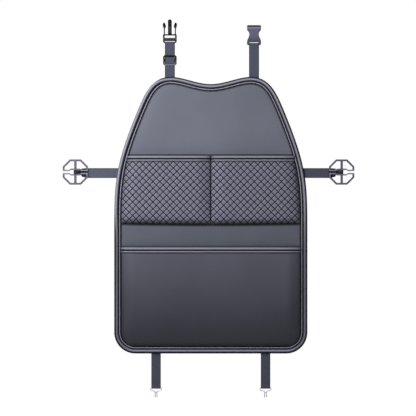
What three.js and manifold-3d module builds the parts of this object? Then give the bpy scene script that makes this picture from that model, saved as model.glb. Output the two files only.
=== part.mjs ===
// Car seat back organizer: a padded leather panel with two quilted upper pockets, one wide lower
// pocket, and webbing straps that carry its buckles, side clips and wire hooks.
// Millimetres. X runs across the panel, +Y points at the seat, +Z is up. The origin is the centre
// of the panel's rear face, which lies on the seat back.

import * as THREE from 'three';
import { mergeVertices } from 'three/addons/utils/BufferGeometryUtils.js';
import Module from 'manifold-3d';

const wasm = await Module();
wasm.setup();

// Driving dimensions: the outline of the panel
const PANEL_WIDTH = 482.5;
const PANEL_HEIGHT = 691;
const CORNER_RADIUS = 53; // lower corners
const SIDE_STRAIGHT = 262.5; // straight run of each side above its lower corner
const SIDE_HANDLE = 111; // how far the side keeps its direction before it leans in
const SHOULDER_INSET = 57.7; // panel side to the middle of the shoulder slope
const SHOULDER_DROP = 86; // panel top to the same point
const SHOULDER_LEAN = 22.6; // degrees from vertical there
const SHOULDER_LOWER_HANDLE = 145;
const SHOULDER_UPPER_HANDLE = 49;
const HUMP_OFFSET = 99; // centre line to the highest point of each hump
const HUMP_OUTER_HANDLE = 49;
const HUMP_INNER_HANDLE = 30;
const NOTCH_DEPTH = 17.9; // dip of the top edge on the centre line
const NOTCH_HANDLE = 35;

// Driving dimensions: the layers, from the seat side to the front
const SEAM_GAP = 0.3; // between pieces that lie on each other or are sewn together
const LINING_THICKNESS = 1.2;
const CORE_THICKNESS = 3;
const FACE_THICKNESS = 1.5;
const BINDING_WIDTH = 10.4;
const BINDING_EDGE = 3; // solid part of the roll outside the layers
const BINDING_CROWN = 2.5; // how far the roll stands over the face
const PIPING_WIDTH = 3.2;
const PIPING_HEIGHT = 3;
const PIPING_GROOVE = 2; // binding to piping

// Driving dimensions: the pockets
const POCKET_WALL = 2;
const HEM_HEIGHT = 16.8;
const UPPER_MOUTH_HEIGHT = 149.8; // top of the upper hems over the centre
const UPPER_POCKET_HEIGHT = 171.2; // hem top to the bottom seam at the sides of the panel
const UPPER_POCKET_SAG = 2.5; // how much lower that seam is on the centre line
const UPPER_POCKET_FULLNESS = 11;
const UPPER_SIDE_ROLL = 38; // run in which the pocket falls to its side seam
const UPPER_BOTTOM_ROLL = 42;
const QUILT_PITCH = 16.95; // diagonal of one diamond
const QUILT_OFFSET_RIGHT = 6.75; // centre line to the first stitched crossing on its right
const QUILT_OFFSET_LEFT = 8.3; // centre line to the first stitched crossing on its left
const QUILT_RISE = 1.8; // that crossing over the top of the quilting
const QUILT_RELIEF = 1.9; // padding between the stitched grooves
const LOWER_MOUTH_DEPTH = 78.5; // top of the lower hem under the centre
const LOWER_POCKET_FULLNESS = 20;
const LOWER_MOUTH_SHARE = 0.55; // share of that fullness at the mouth
const LOWER_SIDE_ROLL = 36;
const LOWER_BOTTOM_ROLL = 120;
const LOWER_SAG_RUN = 110; // mouth to full depth

// Driving dimensions: webbing
const WEBBING_THICKNESS = 1.2;
const TOP_WEBBING_WIDTH = 25;
const SIDE_WEBBING_WIDTH = 24.6;
const BOTTOM_WEBBING_WIDTH = 23.7;
const SEWN_LENGTH = 26; // strap end held between the layers
const TOP_LEFT_OFFSET = 102.3;
const TOP_RIGHT_OFFSET = 108;
const SIDE_STRAP_HEIGHT = 105.3;
const BOTTOM_STRAP_OFFSET = 136.8;
const LOOP_LEAD = 8; // run in which the two layers of a loop part
const RIGHT_TAIL_LENGTH = 24;
const BOTTOM_TAIL_LENGTH = 30;

// Driving dimensions: buckles and slider
const BAR_RADIUS = 1.2; // moulded bars that carry webbing
const WEBBING_SLOT_MARGIN = 0.4; // each side of the webbing
const BUCKLE_WIDTH = 34.4;
const MALE_BAR_RISE = 85.6; // panel top level to its webbing bar
const MALE_THICKNESS = 5;
const MALE_BODY_HEIGHT = 21.3; // webbing bar to the shoulder of the prongs
const MALE_SLOT_TOP = 4.2;
const MALE_CROSSBAR_TOP = 12;
const MALE_WINDOW_TOP = 18;
const CENTRE_PRONG_WIDTH = 9.7;
const CENTRE_PRONG_TIP = 58.3; // webbing bar to the tip
const SIDE_ARM_OFFSET = 13.75;
const SIDE_ARM_WIDTH = 3;
const SIDE_ARM_TOP = 35.5; // where the barb starts
const FEMALE_BAR_RISE = 82.3;
const FEMALE_WIDTH = 35;
const FEMALE_LENGTH = 46.9; // webbing bar to the mouth
const FEMALE_THICKNESS = 10.4;
const FEMALE_CAVITY_HEIGHT = 5.4;
const FEMALE_CAVITY_WIDTH = 31;
const FEMALE_CAVITY_FLOOR = 9;
const FEMALE_FOOT = 3; // webbing bar to the lower end
const FEMALE_GRIP_START = 6.5; // webbing bar to the lower end of the side openings
const FEMALE_WAIST_WIDTH = 23.2;
const FEMALE_WAIST_HEIGHT = 25;
const FEMALE_GRIP_END = 36;
const FEMALE_SLOT_TOP = 4.4;
const FEMALE_SLOT_TOP_WIDTH = 18;
const SLIDER_RISE = 41.4; // panel top level to the middle of the slider
const SLIDER_WIDTH = 34;
const SLIDER_HEIGHT = 26.2;
const SLIDER_BAR_THICKNESS = 1.8;
const SLIDER_BAR_HEIGHT = 5;
const SLIDER_CORNER = 3.6; // cut off each corner at 45 degrees
const SLIDER_TAIL_LENGTH = 60; // free webbing end behind the slider

// Driving dimensions: side clips
const CLIP_SIZE = 63.2; // across the octagon
const CLIP_FLAT = 27.8; // length of its upright and level sides
const CLIP_THICKNESS = 4.5;
const CLIP_WALL = 4.7;
const CLIP_HEIGHT = 107.8; // centre over the panel centre
const CLIP_LEFT_OFFSET = 338.2;
const CLIP_RIGHT_OFFSET = 326.8;
const CLIP_SPOKE_WIDTH = 6;
const CLIP_SLIT_HEIGHT = 4.6;
const CLIP_CHANNEL_HEIGHT = 10.4;
const CLIP_CHANNEL_LENGTH = 27; // wide part of the channel
const CLIP_CHANNEL_WALL = 3.4;
const CLIP_STEP_RUN = 3; // slope between slit and channel
const CLIP_LOOP_WIDTH = 9.4; // webbing gathered in the channel
const CLIP_LOOP_THICKNESS = 1.8;

// Driving dimensions: wire hooks
const WIRE_DIAMETER = 2.2;
const HOOK_BAR_DROP = 85.6; // panel bottom to the bar in the strap loop
const HOOK_EYE_WIDTH = 27.2; // between the wire centres
const HOOK_EYE_HEIGHT = 8.4;
const HOOK_WIRE_SPACING = 4.7;
const HOOK_BEND_DROP = 18.2; // bar to the centre of the bend
const HOOK_BEND_RADIUS = 4.9;
const HOOK_TIP_RISE = 3.4;
const HOOK_CORNER_RADIUS = 2.4;

// Levels through the thickness, worked out from the layers
const LINING_FRONT = -LINING_THICKNESS;
const CORE_BACK = LINING_FRONT - SEAM_GAP;
const CORE_FRONT = CORE_BACK - CORE_THICKNESS;
const FACE_BACK = CORE_FRONT - SEAM_GAP;
const FACE_FRONT = FACE_BACK - FACE_THICKNESS;
const STRAP_Y = (CORE_BACK + CORE_FRONT) / 2;
const LAYER_PITCH = WEBBING_THICKNESS + SEAM_GAP; // from one webbing layer to the next
const TAIL_Y = STRAP_Y + LAYER_PITCH;
const LOOP_Y = (STRAP_Y + TAIL_Y) / 2; // centre of every bar that a strap loops round
const PANEL_TOP = PANEL_HEIGHT / 2;
const PANEL_BOTTOM = -PANEL_HEIGHT / 2;
const BORDER_INSET = BINDING_WIDTH + PIPING_GROOVE + PIPING_WIDTH + SEAM_GAP; // sewn edge of the pockets
const UPPER_HEM_BOTTOM = UPPER_MOUTH_HEIGHT - HEM_HEIGHT;
const UPPER_SEAM_END = UPPER_MOUTH_HEIGHT - UPPER_POCKET_HEIGHT;
const LOWER_HEM_BOTTOM = -LOWER_MOUTH_DEPTH - HEM_HEIGHT;

const X_AXIS = new THREE.Vector3(1, 0, 0);
const Y_AXIS = new THREE.Vector3(0, 1, 0);
const Z_AXIS = new THREE.Vector3(0, 0, 1);
const degrees = (angle) => (angle * Math.PI) / 180;

// Materials, one colour and finish for each kind of piece
const FINISHES = {
  faceLeather: { color: 0x696c79, roughness: 0.5, metalness: 0 },
  pocketLeather: { color: 0x4d4d53, roughness: 0.5, metalness: 0 },
  quiltedLeather: { color: 0x7c7a88, roughness: 0.45, metalness: 0 },
  trimLeather: { color: 0x84869a, roughness: 0.42, metalness: 0 },
  foam: { color: 0x303238, roughness: 0.95, metalness: 0 },
  lining: { color: 0x1d1d21, roughness: 0.95, metalness: 0 },
  webbing: { color: 0x545766, roughness: 0.85, metalness: 0 },
  blackPlastic: { color: 0x17171c, roughness: 0.4, metalness: 0 },
  greyPlastic: { color: 0x5d5a6e, roughness: 0.4, metalness: 0 },
  steelWire: { color: 0xc8cacc, roughness: 0.2, metalness: 1 },
};

// Solids from vertices and triangles

function closedGeometry(points, triangles) {
  const geometry = new THREE.BufferGeometry();
  const positions = points.flatMap((point) => [point.x, point.y, point.z]);
  geometry.setAttribute('position', new THREE.Float32BufferAttribute(positions, 3));
  let volume = 0;
  for (const [a, b, c] of triangles) {
    volume += points[a].dot(new THREE.Vector3().crossVectors(points[b], points[c]));
  }
  const outward = volume > 0 ? triangles : triangles.map(([a, b, c]) => [a, c, b]);
  geometry.setIndex(outward.flat());
  return geometry;
}

function toSolid(geometry) {
  const bare = geometry.clone();
  bare.deleteAttribute('normal');
  bare.deleteAttribute('uv');
  const merged = mergeVertices(bare, 1e-4);
  return new wasm.Manifold(
    new wasm.Mesh({
      numProp: 3,
      vertProperties: new Float32Array(merged.getAttribute('position').array),
      triVerts: new Uint32Array(merged.getIndex().array),
    }),
  );
}

function fromSolid(solid) {
  const mesh = solid.getMesh();
  const geometry = new THREE.BufferGeometry();
  geometry.setAttribute('position', new THREE.BufferAttribute(mesh.vertProperties, 3));
  geometry.setIndex(new THREE.BufferAttribute(mesh.triVerts, 1));
  return geometry;
}

function joined(...geometries) {
  return fromSolid(geometries.map(toSolid).reduce((whole, piece) => whole.add(piece)));
}

function cut(body, ...tools) {
  return fromSolid(tools.map(toSolid).reduce((rest, tool) => rest.subtract(tool), toSolid(body)));
}

function kept(body, region) {
  return fromSolid(toSolid(body).intersect(toSolid(region)));
}

// The same body with its shared corners merged
function indexed(geometry) {
  return fromSolid(toSolid(geometry));
}

function mirroredX(geometry) {
  const copy = geometry.clone().scale(-1, 1, 1);
  const index = Array.from(copy.getIndex().array);
  for (let i = 0; i < index.length; i += 3) {
    [index[i + 1], index[i + 2]] = [index[i + 2], index[i + 1]];
  }
  copy.setIndex(index);
  return copy;
}

function box(low, high) {
  const size = new THREE.Vector3().subVectors(high, low);
  const centre = new THREE.Vector3().addVectors(low, high).multiplyScalar(0.5);
  return new THREE.BoxGeometry(size.x, size.y, size.z).translate(centre.x, centre.y, centre.z);
}

// A body swept along frames. Each frame places the flat profile with its own two axes, whose
// lengths scale it.
function sweep(profile, frames, closed = false) {
  const count = profile.length;
  const points = frames.flatMap(({ origin, u, v }) =>
    profile.map((p) => origin.clone().addScaledVector(u, p.x).addScaledVector(v, p.y)),
  );
  const triangles = [];
  const spans = closed ? frames.length : frames.length - 1;
  for (let i = 0; i < spans; i++) {
    const here = i * count;
    const next = ((i + 1) % frames.length) * count;
    for (let j = 0; j < count; j++) {
      const k = (j + 1) % count;
      triangles.push([here + j, here + k, next + k], [here + j, next + k, next + j]);
    }
  }
  if (!closed) {
    const last = (frames.length - 1) * count;
    const forward = THREE.ShapeUtils.area(profile) > 0;
    for (const [a, b, c] of THREE.ShapeUtils.triangulateShape(profile, [])) {
      const start = forward ? [a, c, b] : [a, b, c];
      triangles.push(start, [last + start[0], last + start[2], last + start[1]]);
    }
  }
  return closedGeometry(points, triangles);
}

// A flat plate drawn in X and Z, between two levels of Y, with its edges bevelled if asked
function plate(shape, back, front, bevel = 0) {
  const depth = back - front - 2 * bevel;
  const options = {
    depth,
    curveSegments: 6,
    bevelEnabled: bevel > 0,
    bevelThickness: bevel,
    bevelSize: bevel,
    bevelOffset: -bevel,
    bevelSegments: 1,
  };
  return new THREE.ExtrudeGeometry(shape, options).rotateX(Math.PI / 2).translate(0, back - bevel, 0);
}

// The panel outline, as a loop that runs anticlockwise seen from the front

function panelOutline() {
  const side = PANEL_WIDTH / 2;
  const sideTop = PANEL_BOTTOM + CORNER_RADIUS + SIDE_STRAIGHT;
  const shoulder = new THREE.Vector2(side - SHOULDER_INSET, PANEL_TOP - SHOULDER_DROP);
  const lean = new THREE.Vector2(Math.sin(degrees(SHOULDER_LEAN)), -Math.cos(degrees(SHOULDER_LEAN)));
  const lower = shoulder.clone().addScaledVector(lean, SHOULDER_LOWER_HANDLE);
  const upper = shoulder.clone().addScaledVector(lean, -SHOULDER_UPPER_HANDLE);
  const notch = PANEL_TOP - NOTCH_DEPTH;
  const path = new THREE.Path();
  path.moveTo(side - CORNER_RADIUS, PANEL_BOTTOM);
  path.absarc(side - CORNER_RADIUS, PANEL_BOTTOM + CORNER_RADIUS, CORNER_RADIUS, -Math.PI / 2, 0);
  path.lineTo(side, sideTop);
  path.bezierCurveTo(side, sideTop + SIDE_HANDLE, lower.x, lower.y, shoulder.x, shoulder.y);
  path.bezierCurveTo(upper.x, upper.y, HUMP_OFFSET + HUMP_OUTER_HANDLE, PANEL_TOP, HUMP_OFFSET, PANEL_TOP);
  path.bezierCurveTo(HUMP_OFFSET - HUMP_INNER_HANDLE, PANEL_TOP, NOTCH_HANDLE, notch, 0, notch);
  const steps = 6;
  const right = path.getPoints(steps);
  const left = right.slice(0, -1).reverse();
  return [...right, ...left.map((point) => new THREE.Vector2(-point.x, point.y))];
}

// The direction that keeps both edges at a corner the same distance inside the loop
function inwardMitre(loop, i) {
  const before = loop[(i + loop.length - 1) % loop.length];
  const after = loop[(i + 1) % loop.length];
  const arriving = loop[i].clone().sub(before).normalize();
  const leaving = after.clone().sub(loop[i]).normalize();
  const first = new THREE.Vector2(-arriving.y, arriving.x);
  const second = new THREE.Vector2(-leaving.y, leaving.x);
  return first.clone().add(second).divideScalar(1 + first.dot(second));
}

function insetLoop(loop, distance) {
  return loop.map((point, i) => point.clone().addScaledVector(inwardMitre(loop, i), distance));
}

function edgeFrames(loop) {
  return loop.map((point, i) => {
    const inward = inwardMitre(loop, i);
    return {
      origin: new THREE.Vector3(point.x, 0, point.y),
      u: new THREE.Vector3(inward.x, 0, inward.y),
      v: Y_AXIS,
    };
  });
}

// Half the width of a loop at one height, on its right-hand side
function halfWidthAt(loop, height) {
  let width = 0;
  loop.forEach((point, i) => {
    const next = loop[(i + 1) % loop.length];
    const low = Math.min(point.y, next.y);
    const high = Math.max(point.y, next.y);
    if (point.x > 0 && next.x >= 0 && height >= low && height <= high && high > low) {
      const share = (height - point.y) / (next.y - point.y);
      width = Math.max(width, point.x + share * (next.x - point.x));
    }
  });
  return width;
}

// Height of the top edge of a loop at one offset from the centre line
function topAt(loop, offset) {
  let top = -Infinity;
  loop.forEach((point, i) => {
    const next = loop[(i + 1) % loop.length];
    const low = Math.min(point.x, next.x);
    const high = Math.max(point.x, next.x);
    if (offset >= low && offset <= high && high > low) {
      const share = (offset - point.x) / (next.x - point.x);
      top = Math.max(top, point.y + share * (next.y - point.y));
    }
  });
  return top;
}

const outline = panelOutline();
const layerEdge = insetLoop(outline, BINDING_EDGE + SEAM_GAP);
const liningEdge = insetLoop(outline, BINDING_WIDTH + SEAM_GAP);
const pocketBorder = insetLoop(outline, BORDER_INSET);

// Panel layers, binding and piping

// Boxes round the sewn end of each strap, wide enough for the webbing and its gap
function strapPassages(back, front) {
  const passage = (x, z, halfX, halfZ) =>
    box(new THREE.Vector3(x - halfX, front, z - halfZ), new THREE.Vector3(x + halfX, back, z + halfZ));
  const half = (width) => width / 2 + SEAM_GAP;
  const reach = SEWN_LENGTH + SEAM_GAP;
  const edge = halfWidthAt(outline, SIDE_STRAP_HEIGHT);
  return [
    passage(-TOP_LEFT_OFFSET, topAt(outline, TOP_LEFT_OFFSET), half(TOP_WEBBING_WIDTH), reach),
    passage(TOP_RIGHT_OFFSET, topAt(outline, TOP_RIGHT_OFFSET), half(TOP_WEBBING_WIDTH), reach),
    passage(-edge, SIDE_STRAP_HEIGHT, reach, half(SIDE_WEBBING_WIDTH)),
    passage(edge, SIDE_STRAP_HEIGHT, reach, half(SIDE_WEBBING_WIDTH)),
    passage(-BOTTOM_STRAP_OFFSET, PANEL_BOTTOM, half(BOTTOM_WEBBING_WIDTH), reach),
    passage(BOTTOM_STRAP_OFFSET, PANEL_BOTTOM, half(BOTTOM_WEBBING_WIDTH), reach),
  ];
}

function facePanel() {
  return plate(new THREE.Shape(layerEdge), FACE_BACK, FACE_FRONT);
}

function foamCore() {
  const sheet = plate(new THREE.Shape(layerEdge), CORE_BACK, CORE_FRONT);
  return cut(sheet, ...strapPassages(CORE_BACK + 1, CORE_FRONT - 1));
}

function backLining() {
  return plate(new THREE.Shape(liningEdge), 0, LINING_FRONT);
}

// A strip rolled round the edge of the layers, open towards them
function edgeBinding() {
  const mouthBack = LINING_FRONT;
  const mouthFront = FACE_FRONT - SEAM_GAP;
  const crown = mouthFront - BINDING_CROWN;
  const middle = crown / 2;
  const profile = [
    [BINDING_WIDTH, 0],
    [0.36 * BINDING_WIDTH, 0],
    [0.1 * BINDING_WIDTH, 0.18 * crown],
    [0, middle],
    [0.1 * BINDING_WIDTH, 0.8 * crown],
    [0.34 * BINDING_WIDTH, 0.96 * crown],
    [0.62 * BINDING_WIDTH, crown],
    [0.88 * BINDING_WIDTH, 0.94 * crown],
    [BINDING_WIDTH, 0.84 * crown],
    [BINDING_WIDTH, mouthFront],
    [BINDING_EDGE, mouthFront],
    [BINDING_EDGE, mouthBack],
    [BINDING_WIDTH, mouthBack],
  ].map(([inset, level]) => new THREE.Vector2(inset, level));
  const roll = sweep(profile, edgeFrames(outline), true);
  const half = WEBBING_THICKNESS / 2 + SEAM_GAP;
  return cut(roll, ...strapPassages(STRAP_Y + half, STRAP_Y - half));
}

// A half-round bead sewn along the inside of the binding
function innerPiping() {
  const base = FACE_FRONT - SEAM_GAP;
  const sides = 6;
  const profile = Array.from({ length: sides }, (_, i) => {
    const angle = (Math.PI * i) / (sides - 1);
    const across = BINDING_WIDTH + PIPING_GROOVE + (PIPING_WIDTH / 2) * (1 - Math.cos(angle));
    return new THREE.Vector2(across, base - PIPING_HEIGHT * Math.sin(angle));
  });
  return sweep(profile, edgeFrames(outline), true);
}

// Pockets. Each wall stands off the face by its fullness and falls to nothing at its seams.

const roll = (distance, run) => Math.sin((Math.PI / 2) * Math.min(Math.max(distance / run, 0), 1));

function upperSeamHeight(x) {
  const share = x / halfWidthAt(pocketBorder, UPPER_SEAM_END);
  return UPPER_SEAM_END - UPPER_POCKET_SAG * Math.max(1 - share * share, 0);
}

function upperFullness(x, z) {
  const side = halfWidthAt(pocketBorder, Math.max(z, UPPER_SEAM_END));
  return (
    UPPER_POCKET_FULLNESS *
    roll(x, UPPER_SIDE_ROLL) *
    roll(side - x, UPPER_SIDE_ROLL) *
    roll(z - upperSeamHeight(x), UPPER_BOTTOM_ROLL)
  );
}

function lowerFullness(x, z) {
  const side = halfWidthAt(pocketBorder, z);
  const sag = roll(-LOWER_MOUTH_DEPTH - z, LOWER_SAG_RUN);
  return (
    LOWER_POCKET_FULLNESS *
    (LOWER_MOUTH_SHARE + (1 - LOWER_MOUTH_SHARE) * sag) *
    roll(side - Math.abs(x), LOWER_SIDE_ROLL) *
    roll(z - pocketFloor(), LOWER_BOTTOM_ROLL)
  );
}

function pocketFloor() {
  return PANEL_BOTTOM + BORDER_INSET;
}

const wallBack = FACE_FRONT - SEAM_GAP; // rear of a pocket wall where it is sewn down

// Diamond quilting: a square grid of half a diamond, whose even points are stitched crossings
// and whose odd points are the padded middles. The back has the crossings alone.
function quiltedSheet(columns, rows, left, top) {
  const half = QUILT_PITCH / 2;
  const front = [];
  const back = [];
  for (let row = 0; row <= rows; row++) {
    for (let column = 0; column <= columns; column++) {
      const x = left + column * half;
      const z = top - row * half;
      const y = wallBack - upperFullness(x, z);
      const padding = (row + column) % 2 ? QUILT_RELIEF : 0;
      front.push(new THREE.Vector3(x, y - POCKET_WALL - padding, z));
      back.push(new THREE.Vector3(x, y, z));
    }
  }
  const points = [...front, ...back];
  const under = front.length;
  const at = (column, row) => row * (columns + 1) + column;
  const inside = ([column, row]) => column >= 0 && column <= columns && row >= 0 && row <= rows;
  const triangles = [];
  for (let row = 0; row <= rows; row++) {
    for (let column = (row + 1) % 2; column <= columns; column += 2) {
      const around = [[column, row - 1], [column + 1, row], [column, row + 1], [column - 1, row]];
      const whole = around.every(inside);
      const middle = at(column, row);
      const corners = around.map(([c, r]) => at(c, r));
      around.forEach((corner, i) => {
        if (!inside(corner) || !inside(around[(i + 1) % 4])) return;
        const [p, q] = [corners[i], corners[(i + 1) % 4]];
        triangles.push([middle, p, q]);
        if (!whole) triangles.push([under + middle, under + q, under + p]);
      });
      if (whole) {
        const [top, right, bottom, left] = corners.map((corner) => under + corner);
        triangles.push([top, bottom, right], [top, left, bottom]);
      }
    }
  }
  const rim = [];
  for (let column = 0; column < columns; column++) rim.push(at(column, 0));
  for (let row = 0; row < rows; row++) rim.push(at(columns, row));
  for (let column = columns; column > 0; column--) rim.push(at(column, rows));
  for (let row = rows; row > 0; row--) rim.push(at(0, row));
  rim.forEach((p, i) => {
    const q = rim[(i + 1) % rim.length];
    triangles.push([q, p, under + p], [q, under + p, under + q]);
  });
  return closedGeometry(points, triangles);
}

// The cut shape of the right upper pocket between its side seam, the centre seam and the hem
function upperPocketShape(bottomAt, top) {
  const steps = 10;
  const low = bottomAt(halfWidthAt(pocketBorder, UPPER_SEAM_END));
  const side = Array.from({ length: steps + 1 }, (_, i) => {
    const z = low + ((top - low) * i) / steps;
    return new THREE.Vector2(halfWidthAt(pocketBorder, z), z);
  });
  const centre = SEAM_GAP / 2;
  const seam = Array.from({ length: steps }, (_, i) => {
    const x = centre + ((side[0].x - centre) * i) / steps;
    return new THREE.Vector2(x, bottomAt(x));
  });
  return new THREE.Shape([...seam, ...side, new THREE.Vector2(centre, top)]);
}

// The right upper pocket, with its quilting counted from the given crossing
function upperPocket(firstCrossing) {
  const top = UPPER_HEM_BOTTOM - SEAM_GAP;
  const half = QUILT_PITCH / 2;
  const width = halfWidthAt(pocketBorder, UPPER_SEAM_END) - firstCrossing;
  const height = top + QUILT_RISE - UPPER_SEAM_END + UPPER_POCKET_SAG;
  const columns = Math.ceil(width / half) + 1;
  const rows = Math.ceil(height / half) + 1;
  const sheet = quiltedSheet(columns, rows, firstCrossing, top + QUILT_RISE);
  const depth = POCKET_WALL + QUILT_RELIEF + UPPER_POCKET_FULLNESS + 1;
  const region = plate(upperPocketShape(upperSeamHeight, top), wallBack + 1, wallBack - depth);
  return kept(sheet, region);
}

// The folded top edge of a pocket: a flat band, a stitched groove and a round roll
const HEM_PROFILE = [
  [0, 0],
  [0, 0.9],
  [0.1, 1],
  [0.14, 1.4],
  [0.34, 1.4],
  [0.41, 0.85],
  [0.5, 0.85],
  [0.55, 1.7],
  [0.65, 2.2],
  [0.82, 2.2],
  [0.95, 1.6],
  [1, 0.8],
  [0.96, 0],
].map(([rise, proud]) => new THREE.Vector2(rise * HEM_HEIGHT, proud * POCKET_WALL));

function hem(from, to, bottom, fullness, steps) {
  const forward = Y_AXIS.clone().negate();
  const frames = Array.from({ length: steps + 1 }, (_, i) => {
    const x = from + ((to - from) * i) / steps;
    return { origin: new THREE.Vector3(x, wallBack - fullness(x), bottom), u: Z_AXIS, v: forward };
  });
  return sweep(HEM_PROFILE, frames);
}

function upperHem() {
  const width = halfWidthAt(pocketBorder, UPPER_HEM_BOTTOM);
  const strip = hem(0, width + 2, UPPER_HEM_BOTTOM, (x) => upperFullness(x, UPPER_HEM_BOTTOM), 14);
  const depth = UPPER_POCKET_FULLNESS + 3 * POCKET_WALL;
  const shape = upperPocketShape(() => UPPER_HEM_BOTTOM, UPPER_MOUTH_HEIGHT);
  return kept(strip, plate(shape, wallBack + 1, wallBack - depth));
}

function lowerHem() {
  const width = halfWidthAt(pocketBorder, LOWER_HEM_BOTTOM);
  return hem(-width, width, LOWER_HEM_BOTTOM, (x) => lowerFullness(x, LOWER_HEM_BOTTOM), 22);
}

// A wall of even thickness on a grid of rows that follow the side seams and the round corners
function lowerPocket() {
  const columns = 18;
  const rows = 13;
  const top = LOWER_HEM_BOTTOM - SEAM_GAP;
  const floor = pocketFloor();
  const front = [];
  const back = [];
  for (let row = 0; row <= rows; row++) {
    const z = top + (floor - top) * Math.sin((Math.PI / 2) * (row / rows));
    const width = row === rows ? PANEL_WIDTH / 2 - CORNER_RADIUS : halfWidthAt(pocketBorder, z);
    for (let column = 0; column <= columns; column++) {
      const x = -width * Math.cos((Math.PI * column) / columns);
      const y = wallBack - (row === rows ? 0 : lowerFullness(x, z));
      front.push(new THREE.Vector3(x, y - POCKET_WALL, z));
      back.push(new THREE.Vector3(x, y, z));
    }
  }
  return shell(front, back, columns, rows);
}

// Two matching grids of points joined into one closed wall
function shell(front, back, columns, rows) {
  const points = [...front, ...back];
  const at = (column, row) => row * (columns + 1) + column;
  const triangles = [];
  const quad = (a, b, c, d) => triangles.push([a, b, c], [a, c, d]);
  for (let row = 0; row < rows; row++) {
    for (let column = 0; column < columns; column++) {
      const [a, b] = [at(column, row), at(column + 1, row)];
      const [c, d] = [at(column + 1, row + 1), at(column, row + 1)];
      quad(a, b, c, d);
      quad(a + front.length, d + front.length, c + front.length, b + front.length);
    }
  }
  const wall = (p, q) => quad(q, p, p + front.length, q + front.length);
  for (let column = 0; column < columns; column++) {
    wall(at(column, 0), at(column + 1, 0));
    wall(at(column + 1, rows), at(column, rows));
  }
  for (let row = 0; row < rows; row++) {
    wall(at(columns, row), at(columns, row + 1));
    wall(at(0, row + 1), at(0, row));
  }
  return closedGeometry(points, triangles);
}

// Webbing: a flat ribbon along a path that bends in one plane

const WEBBING_PROFILE = [
  [-0.5, -0.3],
  [-0.49, -0.5],
  [0.49, -0.5],
  [0.5, -0.3],
  [0.5, 0.3],
  [0.49, 0.5],
  [-0.49, 0.5],
  [-0.5, 0.3],
].map(([across, through]) => new THREE.Vector2(across, through));

function ribbon(stations, across) {
  const frames = stations.map(({ point, width, thickness }, i) => {
    const before = stations[Math.max(i - 1, 0)].point;
    const after = stations[Math.min(i + 1, stations.length - 1)].point;
    const arriving = point.clone().sub(before).normalize();
    const leaving = after.clone().sub(point).normalize();
    const first = new THREE.Vector3().crossVectors(across, i === 0 ? leaving : arriving);
    const second = new THREE.Vector3().crossVectors(across, i === stations.length - 1 ? arriving : leaving);
    const through = first.clone().add(second).divideScalar(1 + first.dot(second));
    return {
      origin: point,
      u: across.clone().multiplyScalar(width),
      v: through.multiplyScalar(thickness),
    };
  });
  return sweep(WEBBING_PROFILE, frames);
}

// A strap that runs up or down, round a bar, and back behind itself. direction is 1 upwards.
function loopedStrap({ x, sewnEnd, barHeight, barRadius, tailLength, width, direction }) {
  const radius = barRadius + SEAM_GAP + WEBBING_THICKNESS / 2;
  const turn = 8;
  const path = [
    [STRAP_Y, sewnEnd],
    [STRAP_Y, barHeight - direction * LOOP_LEAD],
  ];
  for (let i = 0; i <= turn; i++) {
    const angle = (Math.PI * i) / turn;
    path.push([LOOP_Y - radius * Math.cos(angle), barHeight + direction * radius * Math.sin(angle)]);
  }
  path.push([TAIL_Y, barHeight - direction * LOOP_LEAD]);
  path.push([TAIL_Y, barHeight - direction * tailLength]);
  const stations = path.map(([y, z]) => ({
    point: new THREE.Vector3(x, y, z),
    width,
    thickness: WEBBING_THICKNESS,
  }));
  return ribbon(stations, X_AXIS);
}

const clipCentreY = STRAP_Y - WEBBING_THICKNESS / 2 - SEAM_GAP - CLIP_THICKNESS / 2;

// The side strap narrows behind the clip, rises into its channel and loops round the spoke
function sideStrap(clipOffset) {
  const sewnEnd = halfWidthAt(outline, SIDE_STRAP_HEIGHT) - SEWN_LENGTH;
  const clipEdge = clipOffset - CLIP_SIZE / 2;
  const channelEnd = clipOffset - CLIP_CHANNEL_LENGTH / 2;
  const radius = CLIP_THICKNESS / 2 + SEAM_GAP + CLIP_LOOP_THICKNESS / 2;
  const gathered = (x, y) => [x, y, CLIP_LOOP_WIDTH, CLIP_LOOP_THICKNESS, CLIP_HEIGHT];
  const flat = (x) => [x, STRAP_Y, SIDE_WEBBING_WIDTH, WEBBING_THICKNESS, SIDE_STRAP_HEIGHT];
  const path = [flat(sewnEnd), flat(clipEdge - 6), flat(clipEdge + 3)];
  path.push(gathered(channelEnd + 1, clipCentreY + radius));
  const turn = 8;
  for (let i = 0; i <= turn; i++) {
    const angle = (Math.PI * i) / turn;
    path.push(gathered(clipOffset + radius * Math.sin(angle), clipCentreY + radius * Math.cos(angle)));
  }
  path.push(gathered(clipOffset - 4.5, clipCentreY - 0.8 * radius));
  path.push(gathered(clipOffset - 7.5, clipCentreY - 0.3 * radius));
  path.push(gathered(channelEnd + 3.4, clipCentreY + 0.25 * radius));
  const stations = path.map(([x, y, width, thickness, z]) => ({
    point: new THREE.Vector3(x, y, z),
    width,
    thickness,
  }));
  return ribbon(stations, Z_AXIS);
}

// Moulded parts

function mirroredShape(half) {
  const left = half.map(([x, z]) => [-x, z]).reverse();
  return new THREE.Shape([...half, ...left].map(([x, z]) => new THREE.Vector2(x, z)));
}

// A round bar across a moulding, where webbing loops round it
function webbingBar(halfLength) {
  return new THREE.CylinderGeometry(BAR_RADIUS, BAR_RADIUS, 2 * halfLength, 12).rotateZ(Math.PI / 2);
}

function slotHalfWidth() {
  return TOP_WEBBING_WIDTH / 2 + WEBBING_SLOT_MARGIN;
}

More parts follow.
